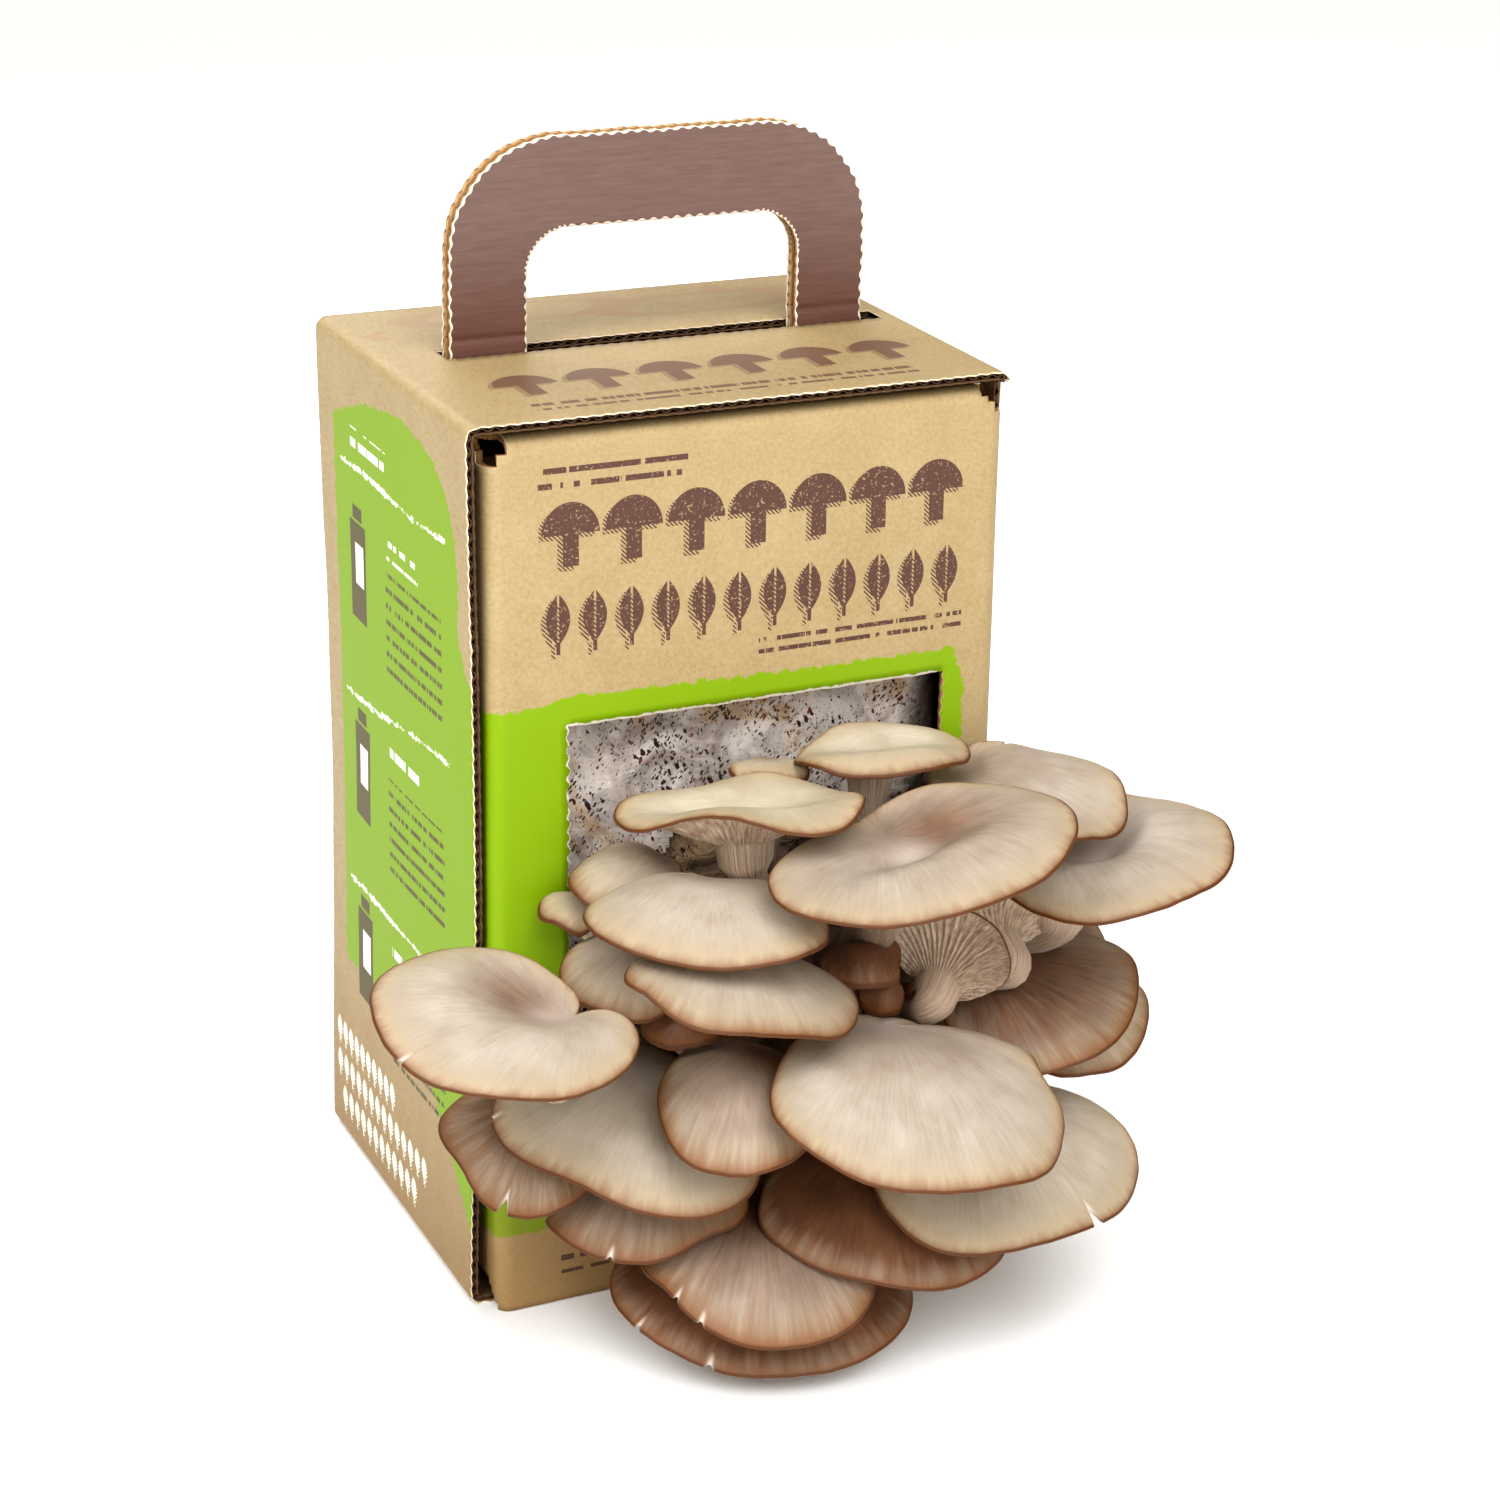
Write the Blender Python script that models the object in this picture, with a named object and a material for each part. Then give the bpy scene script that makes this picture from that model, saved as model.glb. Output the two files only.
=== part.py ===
"""Oyster mushroom grow kit: a kraft carton with a carry handle and a die-cut window, a film bag of growing
medium inside it, and the cluster of oyster mushrooms that has grown out through the window.

Metres, +Z up. The origin is the middle of the carton's base; the window faces -Y and +X is to its right.
"""

import math

import bpy
import bmesh
import numpy as np
from mathutils import Matrix, Vector

MM = 0.001

# Carton, in millimetres: width along X, depth along Y, height along Z.
BOX_WIDTH = 142.0
BOX_DEPTH = 106.0
BOX_HEIGHT = 230.0
BOARD = 2.0
SLEEVE_FOLD_RADIUS = 3.0
TOUCH_GAP = 0.3

# Slot in the carton's top, and the handle that stands in it.
SLOT_LEFT, SLOT_RIGHT = -54.5, 65.5
SLOT_FRONT, SLOT_BACK = 3.6, 11.4
HANDLE_LEFT, HANDLE_RIGHT = -53.0, 59.0
HANDLE_TOP = 282.5
HANDLE_CORNER_RADIUS = 28.0
GRIP_LEFT, GRIP_RIGHT = -33.0, 40.5
GRIP_TOP = 260.0
GRIP_CORNER_RADIUS = 11.0
HANDLE_FLAP_LEFT, HANDLE_FLAP_RIGHT = -62.0, 67.0
HANDLE_FLAP_TOP, HANDLE_FLAP_BOTTOM = 222.0, 204.0
HANDLE_LAYER = 1.8
HANDLE_FRONT_Y = 5.4
HANDLE_BACK_Y = 9.2

# Front closure: a shallow tray of board, hinged under the top edge and leaning out at the foot.
PANEL_LEFT, PANEL_RIGHT = -66.0, 67.0
PANEL_TOP = 226.0
PANEL_FACE_Y = -52.0
PANEL_LEAN = 2.0
PANEL_FOLD_RADIUS = 4.0
PANEL_RETURN = 15.0
CORNER_NOTCH_RADIUS = 7.0
FOOT_CHAMFER = 7.0
WINDOW_LEFT, WINDOW_RIGHT = -46.0, 55.5
WINDOW_BOTTOM, WINDOW_TOP = 42.0, 154.0

# Bag of growing medium.
BAG_LEFT, BAG_RIGHT = -61.0, 62.0
BAG_FRONT, BAG_BACK = -47.0, 41.0
BAG_BOTTOM, BAG_TOP = 2.4, 174.0
BAG_CORNER_RADIUS = 12.0
FILM = 0.6
FILM_CUT = [
    (-27, 58), (-25, 97), (-15, 119), (8, 121), (30, 112), (46, 108), (54, 98), (54, 44), (10, 41), (-14, 44),
]

# Lump at the mouth of the cut that every stem grows from.
BASE_CENTRE = np.array([13.0, -51.0, 72.0])
BASE_RADII = np.array([36.0, 21.0, 27.0])
STEM_GAP = 0.5


# Scene and materials -------------------------------------------------------------------------------


def clear_scene():
    for found in list(bpy.data.objects):
        bpy.data.objects.remove(found, do_unlink=True)


def new_collection(name, hidden=False):
    made = bpy.data.collections.new(name)
    bpy.context.scene.collection.children.link(made)
    made.hide_render = hidden
    return made


def material(name, colour, roughness, metallic=0.0):
    """A Principled material; the colour is linear red, green and blue."""
    made = bpy.data.materials.new(name)
    made.use_nodes = True
    shader = made.node_tree.nodes["Principled BSDF"]
    shader.inputs["Base Color"].default_value = (*colour, 1.0)
    shader.inputs["Roughness"].default_value = roughness
    shader.inputs["Metallic"].default_value = metallic
    made.diffuse_color = (*colour, 1.0)
    return made


clear_scene()
PARTS = new_collection("oyster_mushroom_grow_kit")
CUTTERS = new_collection("cutters", hidden=True)
KRAFT = material("kraft_board", (0.55, 0.40, 0.22), 0.75)
PRINTED = material("printed_board", (0.14, 0.075, 0.06), 0.6)
FILM_CLEAR = material("bag_film", (0.80, 0.78, 0.76), 0.25)
MEDIUM = material("growing_medium", (0.50, 0.44, 0.40), 0.9)
PALE_CAP = material("pale_cap", (0.66, 0.54, 0.41), 0.6)
BROWN_CAP = material("brown_cap", (0.30, 0.19, 0.12), 0.6)
ROOT_FLESH = material("cluster_flesh", (0.75, 0.68, 0.58), 0.7)


# Shapes --------------------------------------------------------------------------------------------


def finish(obj, look, collection=None):
    """Puts a new object in the parts' collection with its material and shades its round faces smooth."""
    for holder in list(obj.users_collection):
        holder.objects.unlink(obj)
    (collection or PARTS).objects.link(obj)
    obj.data.materials.clear()
    obj.data.materials.append(look)
    if obj.type == "MESH":
        obj.data.shade_smooth()
        obj.data.set_sharp_from_angle(angle=math.radians(35))
    return obj


def round_corners(corners, steps=5):
    """Turns corners (a, b, radius) of a closed outline into points, with an arc at each corner."""
    points = []
    for i, (a, b, radius) in enumerate(corners):
        here = Vector((a, b))
        before = (Vector(corners[i - 1][:2]) - here).normalized()
        after = (Vector(corners[(i + 1) % len(corners)][:2]) - here).normalized()
        if radius <= 0:
            points.append(here)
            continue
        half = before.angle(after) / 2
        centre = here + (before + after).normalized() * radius / math.sin(half)
        start = here + before * radius / math.tan(half) - centre
        end = here + after * radius / math.tan(half) - centre
        sweep = start.angle_signed(end)
        for k in range(steps + 1):
            points.append(centre + Matrix.Rotation(-sweep * k / steps, 2) @ start)
    return [tuple(point) for point in points]


def plate(name, outlines, thickness, look, collection=None):
    """A flat board standing in the XZ plane, centred on y = 0: a filled 2D curve, extruded, as a mesh."""
    curve = bpy.data.curves.new(name, "CURVE")
    curve.dimensions = "2D"
    curve.fill_mode = "BOTH"
    curve.extrude = thickness / 2 * MM
    for outline in outlines:
        spline = curve.splines.new("POLY")
        spline.points.add(len(outline) - 1)
        for point, (a, b) in zip(spline.points, outline):
            point.co = (a * MM, b * MM, 0.0, 1.0)
        spline.use_cyclic_u = True
    flat = bpy.data.objects.new(name + "_outline", curve)
    bpy.context.scene.collection.objects.link(flat)
    bpy.context.view_layer.update()
    evaluated = flat.evaluated_get(bpy.context.evaluated_depsgraph_get())
    mesh = bpy.data.meshes.new_from_object(evaluated)
    bpy.data.objects.remove(flat, do_unlink=True)
    mesh.name = name
    mesh.transform(Matrix.Rotation(math.radians(90), 4, "X"))
    weld(mesh)
    obj = bpy.data.objects.new(name, mesh)
    return finish(obj, look, collection)


def weld(mesh, distance=1e-6):
    work = bmesh.new()
    work.from_mesh(mesh)
    bmesh.ops.remove_doubles(work, verts=work.verts, dist=distance)
    bmesh.ops.recalc_face_normals(work, faces=work.faces)
    work.to_mesh(mesh)
    work.free()


def block(name, low, high, look, collection=None):
    """A box from its lowest to its highest corner, in millimetres."""
    low, high = Vector(low), Vector(high)
    work = bmesh.new()
    bmesh.ops.create_cube(work, size=1.0)
    size = (high - low) * MM
    centre = (high + low) / 2 * MM
    place = Matrix.Translation(centre) @ Matrix.Diagonal((*size, 1.0))
    bmesh.ops.transform(work, matrix=place, verts=work.verts)
    mesh = bpy.data.meshes.new(name)
    work.to_mesh(mesh)
    work.free()
    return finish(bpy.data.objects.new(name, mesh), look, collection)


def round_edges(obj, radius, segments, chosen):
    """Bevels the edges for which chosen(middle, direction) is true, both in the object's millimetres."""
    work = bmesh.new()
    work.from_mesh(obj.data)
    edges = []
    for edge in work.edges:
        start, end = (vert.co / MM for vert in edge.verts)
        if chosen((start + end) / 2, (end - start).normalized()):
            edges.append(edge)
    shape = {"offset": radius * MM, "segments": segments, "profile": 0.5}
    bmesh.ops.bevel(work, geom=edges, affect="EDGES", clamp_overlap=False, **shape)
    work.to_mesh(obj.data)
    work.free()


def boolean(obj, other, operation="DIFFERENCE"):
    modifier = obj.modifiers.new(operation.lower(), "BOOLEAN")
    modifier.operation = operation
    modifier.solver = "EXACT"
    modifier.object = other
    other.display_type = "WIRE"
    other.hide_render = True


# Carton --------------------------------------------------------------------------------------------


def rounded_box_outline(left, bottom, right, top, radius):
    corners = [(left, bottom), (left, top), (right, top), (right, bottom)]
    return round_corners([(*corner, radius) for corner in corners], 3)


def make_sleeve():
    """The wrap of the carton: left, top, right and bottom in one folded tube, open at the front and back."""
    half = BOX_WIDTH / 2
    outer = rounded_box_outline(-half, 0, half, BOX_HEIGHT, SLEEVE_FOLD_RADIUS)
    inner_radius = SLEEVE_FOLD_RADIUS - BOARD
    inner = rounded_box_outline(-half + BOARD, BOARD, half - BOARD, BOX_HEIGHT - BOARD, inner_radius)
    sleeve = plate("box_sleeve", [outer, inner], BOX_DEPTH, KRAFT)
    slot_low = (SLOT_LEFT, SLOT_FRONT, BOX_HEIGHT - BOARD - 5)
    slot_high = (SLOT_RIGHT, SLOT_BACK, BOX_HEIGHT + 5)
    boolean(sleeve, block("handle_slot", slot_low, slot_high, KRAFT, CUTTERS))


def board_tray(name, left, right, bottom, top):
    """A closure board: a face with side and top returns folded back into the sleeve, its face on y = 0."""
    tray = block(name, (left, 0, bottom), (right, PANEL_RETURN, top), KRAFT)

    def is_fold(middle, direction):
        return middle.y < BOARD + 0.01 and (abs(direction.z) > 0.9 or middle.z > top - BOARD - 0.01)

    round_edges(tray, PANEL_FOLD_RADIUS, 3, is_fold)
    low = (left + BOARD, BOARD, bottom - 5)
    high = (right - BOARD, PANEL_RETURN + 5, top - BOARD)
    hollow = block(name + "_hollow", low, high, KRAFT, CUTTERS)
    round_edges(hollow, PANEL_FOLD_RADIUS - BOARD, 3, is_fold)
    boolean(tray, hollow)
    for side, x in (("left", left), ("right", right)):
        notch = corner_notch(f"{name}_notch_{side}", x, top)
        boolean(tray, notch)
        boolean(tray, foot_chamfer(f"{name}_chamfer_{side}", x, bottom))
    return tray


def corner_notch(name, x, z):
    """The round cut-out where the side and top folds of a closure meet."""
    work = bmesh.new()
    radius = CORNER_NOTCH_RADIUS * MM
    bmesh.ops.create_cone(work, cap_ends=True, segments=16, radius1=radius, radius2=radius, depth=60 * MM)
    place = Matrix.Translation((x * MM, 10 * MM, z * MM)) @ Matrix.Rotation(math.radians(90), 4, "X")
    bmesh.ops.transform(work, matrix=place, verts=work.verts)
    mesh = bpy.data.meshes.new(name)
    work.to_mesh(mesh)
    work.free()
    return finish(bpy.data.objects.new(name, mesh), KRAFT, CUTTERS)


def foot_chamfer(name, x, z):
    """The slanting cut at the foot of a side return, which clears the bottom of the sleeve."""
    rise = FOOT_CHAMFER
    end = PANEL_RETURN + 5
    outline = [(1.5, z - 5), (1.5, z), (1.5 + rise, z + rise), (end, z + rise), (end, z - 5)]
    cutter = plate(name, [outline], 4 * PANEL_FOLD_RADIUS, KRAFT, CUTTERS)
    turned = Matrix.Translation((x * MM, 0, 0)) @ Matrix.Rotation(math.radians(90), 4, "Z")
    cutter.data.transform(turned)
    return cutter


def make_front_panel():
    """The front closure with its window, hinged near the top and standing out a little at the foot."""
    panel = board_tray("front_panel", PANEL_LEFT, PANEL_RIGHT, 0.0, PANEL_TOP)
    corners = [
        (WINDOW_LEFT, WINDOW_BOTTOM, 3),
        (WINDOW_LEFT, WINDOW_TOP, 3),
        (WINDOW_RIGHT, WINDOW_TOP, 3),
        (WINDOW_RIGHT, WINDOW_BOTTOM, 3),
    ]
    boolean(panel, plate("window", [round_corners(corners, 2)], 20, KRAFT, CUTTERS))
    lean = Matrix.Rotation(math.radians(-PANEL_LEAN), 4, "X")
    hinge = Matrix.Translation((0, PANEL_FACE_Y * MM, (PANEL_TOP + TOUCH_GAP) * MM))
    from_hinge = Matrix.Translation((0, 0, -PANEL_TOP * MM))
    pose(panel, hinge @ lean @ from_hinge)


def make_back_panel():
    """The rear closure: the same tray without a window, flush with the sleeve's back edge."""
    foot = BOARD + 0.6
    panel = board_tray("back_panel", -PANEL_RIGHT, PANEL_RIGHT, foot, PANEL_TOP)
    half_turn = Matrix.Rotation(math.radians(180), 4, "Z")
    pose(panel, Matrix.Translation((0, (BOX_DEPTH / 2 - 0.5) * MM, 0)) @ half_turn)


def pose(panel, place):
    """Places a panel and its cutters together."""
    panel.matrix_world = place
    for modifier in panel.modifiers:
        modifier.object.matrix_world = place


def make_handle_layer(name, y):
    """One layer of the carry handle: an arch above the slot and a wide flap that holds it under the top."""
    outer = round_corners(
        [
            (HANDLE_FLAP_LEFT, HANDLE_FLAP_BOTTOM, 3),
            (HANDLE_FLAP_LEFT, HANDLE_FLAP_TOP, 3),
            (HANDLE_LEFT, HANDLE_FLAP_TOP, 0),
            (HANDLE_LEFT, HANDLE_TOP, HANDLE_CORNER_RADIUS),
            (HANDLE_RIGHT, HANDLE_TOP, HANDLE_CORNER_RADIUS),
            (HANDLE_RIGHT, HANDLE_FLAP_TOP, 0),
            (HANDLE_FLAP_RIGHT, HANDLE_FLAP_TOP, 3),
            (HANDLE_FLAP_RIGHT, HANDLE_FLAP_BOTTOM, 3),
        ]
    )
    grip = round_corners(
        [
            (GRIP_LEFT, HANDLE_FLAP_TOP, 0),
            (GRIP_LEFT, GRIP_TOP, GRIP_CORNER_RADIUS),
            (GRIP_RIGHT, GRIP_TOP, GRIP_CORNER_RADIUS),
            (GRIP_RIGHT, HANDLE_FLAP_TOP, 0),
        ]
    )
    layer = plate(name, [outer, grip], HANDLE_LAYER, PRINTED)
    layer.location.y = y * MM


# Bag -----------------------------------------------------------------------------------------------


def bag_form(name, inset, look, collection=None):
    """The filled bag's rounded block, drawn in by inset from the outside of the film."""
    low = (BAG_LEFT + inset, BAG_FRONT + inset, BAG_BOTTOM + inset)
    high = (BAG_RIGHT - inset, BAG_BACK - inset, BAG_TOP - inset)
    form = block(name, low, high, look, collection)
    round_edges(form, BAG_CORNER_RADIUS - inset, 3, lambda middle, direction: True)
    return form


def make_bag():
    """The film bag, with the ragged cut in its front, and the block of growing medium that fills it."""
    film = bag_form("grow_bag", 0.0, FILM_CLEAR)
    boolean(film, bag_form("bag_inside", FILM, FILM_CLEAR, CUTTERS))
    cut = plate("film_cut", [FILM_CUT], 20, FILM_CLEAR, CUTTERS)
    cut.location.y = BAG_FRONT * MM
    boolean(film, cut)
    bag_form("substrate_block", FILM + TOUCH_GAP, MEDIUM)


# Mushrooms -----------------------------------------------------------------------------------------


def make_cluster_base():
    """The pale lump of fused stem bases: a lumpy ellipsoid, flat at the back where it sits on the block."""
    work = bmesh.new()
    bmesh.ops.create_uvsphere(work, u_segments=20, v_segments=10, radius=1.0)
    for vert in work.verts:
        x, y, z = vert.co * Vector(BASE_RADII)
        lump = 1.0 - 0.05 * (1 + math.sin(0.30 * x + 1.0) * math.cos(0.33 * z)) / 2
        vert.co = (Vector((x, y, z)) * lump + Vector(BASE_CENTRE)) * MM
    mesh = bpy.data.meshes.new("cluster_base")
    work.to_mesh(mesh)
    work.free()
    base = finish(bpy.data.objects.new("cluster_base", mesh), ROOT_FLESH)
    back_of_base = BAG_FRONT + FILM + TOUCH_GAP
    low = (-200, back_of_base - TOUCH_GAP, -50)
    boolean(base, block("behind_base", low, (200, 100, 300), ROOT_FLESH, CUTTERS))


def unit(vector):
    return vector / np.linalg.norm(vector)


def cap_axes(heading, droop, roll):
    """A cap's forward, side and up directions.

    Heading turns the cap about Z, 0 pointing to -Y and 90 to +X. Droop lowers its far rim and roll its
    right-hand rim.
    """
    turn, drop, tilt = np.radians([heading, droop, roll])
    level = np.array([np.sin(turn), -np.cos(turn), 0.0])
    sky = np.array([0.0, 0.0, 1.0])
    forward = level * np.cos(drop) - sky * np.sin(drop)
    up = sky * np.cos(drop) + level * np.sin(drop)
    side = np.cross(up, forward)
    return forward, side * np.cos(tilt) - up * np.sin(tilt), up * np.cos(tilt) + side * np.sin(tilt)


def foot_on_base(x, z):
    """The point on the front of the cluster base at x and z, and the direction straight out of it."""
    across, height = (x - BASE_CENTRE[0]) / BASE_RADII[0], (z - BASE_CENTRE[2]) / BASE_RADII[2]
    on_sphere = np.array([across, -math.sqrt(1 - across**2 - height**2), height])
    outward = unit(on_sphere / BASE_RADII)
    return BASE_CENTRE + on_sphere * BASE_RADII + outward * STEM_GAP, outward


def rim_radius(angle, lobes, phase, bites):
    """The rim's reach against a plain ellipse: a little waviness and a soft bite at each place."""
    reach = 1 + 0.02 * np.sin(lobes * angle + phase) + 0.012 * np.sin((lobes + 3) * angle + 2.1 * phase)
    for place, depth, width in bites:
        away = (angle - math.radians(place) + math.pi) % (2 * math.pi) - math.pi
        reach = reach - depth * np.exp(-((away / math.radians(width)) ** 2))
    return reach


def mushroom_surface(
    at,
    heading,
    droop,
    roll,
    across,
    along,
    root,
    inset=0.8,
    dome=5.0,
    dip=3.0,
    funnel=0.3,
    curl=2.0,
    wave=1.0,
    lobes=3,
    phase=0.0,
    bites=(),
    rim=2.2,
    flesh=9.0,
    stem=5.0,
    foot=4.5,
    bend=0.4,
    turns=14,
):
    """Rings of points, in millimetres, from the top of the cap over the rim and down the stem.

    The cap's outline is an ellipse about `at`, `along` forward and `across` to each side. Its top is a
    shallow dome with a round dip where the stem joins, inset x along behind the middle, and a rim that
    curls down. Below, the flesh thins from the stem to the rim, and the gills run down into a stem that
    follows a bent curve to its root on the cluster base.
    """
    forward, side, up = cap_axes(heading, droop, roll)
    middle = np.array(at, float)
    back = inset * along
    angle = np.arange(turns) * 2 * np.pi / turns
    reach = rim_radius(angle, lobes, phase, bites)
    rim_forward = along * np.cos(angle) * reach
    rim_side = across * np.sin(angle) * reach * (1 + 0.08 * np.cos(angle))
    rim_distance = np.hypot(rim_forward + back, rim_side)
    edge = 0.5 * rim / rim_distance.max()
    dip_size = funnel * min(across, along)

    def top_height(ahead, aside, share):
        height = dome * (1 - (ahead / along) ** 2 - (aside / across) ** 2)
        height -= dip * np.exp(-((ahead + back) ** 2 + aside**2) / (2 * dip_size**2))
        return height - curl * share**8 + wave * share**3 * np.sin((lobes + 1) * angle + 1.7 * phase)

    def ring(share, depth):
        ahead = share * (rim_forward + back) - back
        aside = share * rim_side
        within = np.minimum(share, 1)
        thickness = rim + (flesh - rim) * (1 - within) ** 1.4
        height = top_height(ahead, aside, within) - depth * thickness
        return middle + np.outer(ahead, forward) + np.outer(aside, side) + np.outer(height, up)

    whole = np.ones(turns)
    rings = [ring(whole * share * (1 - edge), 0.0) for share in (0.35, 0.7, 0.92, 1.0)]
    rings.append(ring(whole, 0.5))
    gill_end = np.minimum(1.7 * stem, 0.75 * rim_distance) / rim_distance
    rings += [ring((1 - edge) * (1 - k) + gill_end * k, 1.0) for k in (0.0, 0.5, 1.0)]

    neck_height = dome * (1 - inset**2) - dip
    neck = middle - back * forward + (neck_height - flesh) * up
    pole = middle - back * forward + neck_height * up
    rings += stem_rings(neck, rings[-1], (forward, side, up), root, stem, foot, bend)
    return pole, rings


def stem_rings(neck, gill_ring, axes, root, stem, foot, bend, count=3, steps=24):
    """Rings down the stem: a Bezier curve from neck to root, its rings carried along without twist."""
    forward, side, up = axes
    root_point, outward = foot_on_base(*root)
    pull = bend * np.linalg.norm(neck - root_point)
    start = neck - up * 0.25 * stem
    handles = (start, start - up * pull, root_point + outward * pull, root_point)
    share = np.linspace(0, 1, steps + 1)[:, None]
    weights = ((1 - share) ** 3, 3 * share * (1 - share) ** 2, 3 * share**2 * (1 - share), share**3)
    path = sum(weight * handle for weight, handle in zip(weights, handles))
    tangents = np.gradient(path, axis=0)
    tangents /= np.linalg.norm(tangents, axis=1)[:, None]
    tangents[-1] = -outward
    first = forward
    frames = []
    for tangent in tangents:
        first = unit(first - (first @ tangent) * tangent)
        frames.append((first, np.cross(tangent, first)))
    flat = np.stack([(gill_ring - neck) @ forward, (gill_ring - neck) @ side], 1)
    around = np.arctan2(flat[:, 1], flat[:, 0])
    rings = []
    for k in range(1, count + 1):
        radius = stem + (foot - stem) * k / count
        circle = radius * np.stack([np.cos(around), np.sin(around)], 1)
        ease = min(1.0, 2.0 * k / count)
        ease = ease * ease * (3 - 2 * ease)
        section = flat * (1 - ease) + circle * ease
        here = round(steps * k / count)
        first, second = frames[here]
        rings.append(path[here] + np.outer(section[:, 0], first) - np.outer(section[:, 1], second))
    return rings


def make_mushroom(name, look=PALE_CAP, **shape):
    """Lofts one mushroom through its rings, closed at the top of the cap and at the foot of the stem."""
    pole, rings = mushroom_surface(**shape)
    turns = len(rings[0])
    points = np.vstack([*rings, pole, rings[-1].mean(0)]) * MM
    here = np.arange(turns)
    after = (here + 1) % turns
    faces = []
    for row in range(len(rings) - 1):
        high, low = row * turns, (row + 1) * turns
        faces += np.stack([high + here, low + here, low + after, high + after], 1).tolist()
    pole_index, foot_index, last = len(points) - 2, len(points) - 1, (len(rings) - 1) * turns
    faces += [[pole_index, int(i), int(j)] for i, j in zip(here, after)]
    faces += [[foot_index, last + int(j), last + int(i)] for i, j in zip(here, after)]
    mesh = bpy.data.meshes.new(name)
    mesh.from_pydata(points.tolist(), [], faces)
    mesh.update()
    obj = finish(bpy.data.objects.new(name, mesh), look)
    triangulate = obj.modifiers.new("triangulate", "TRIANGULATE")
    triangulate.quad_method = "FIXED"


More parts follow.
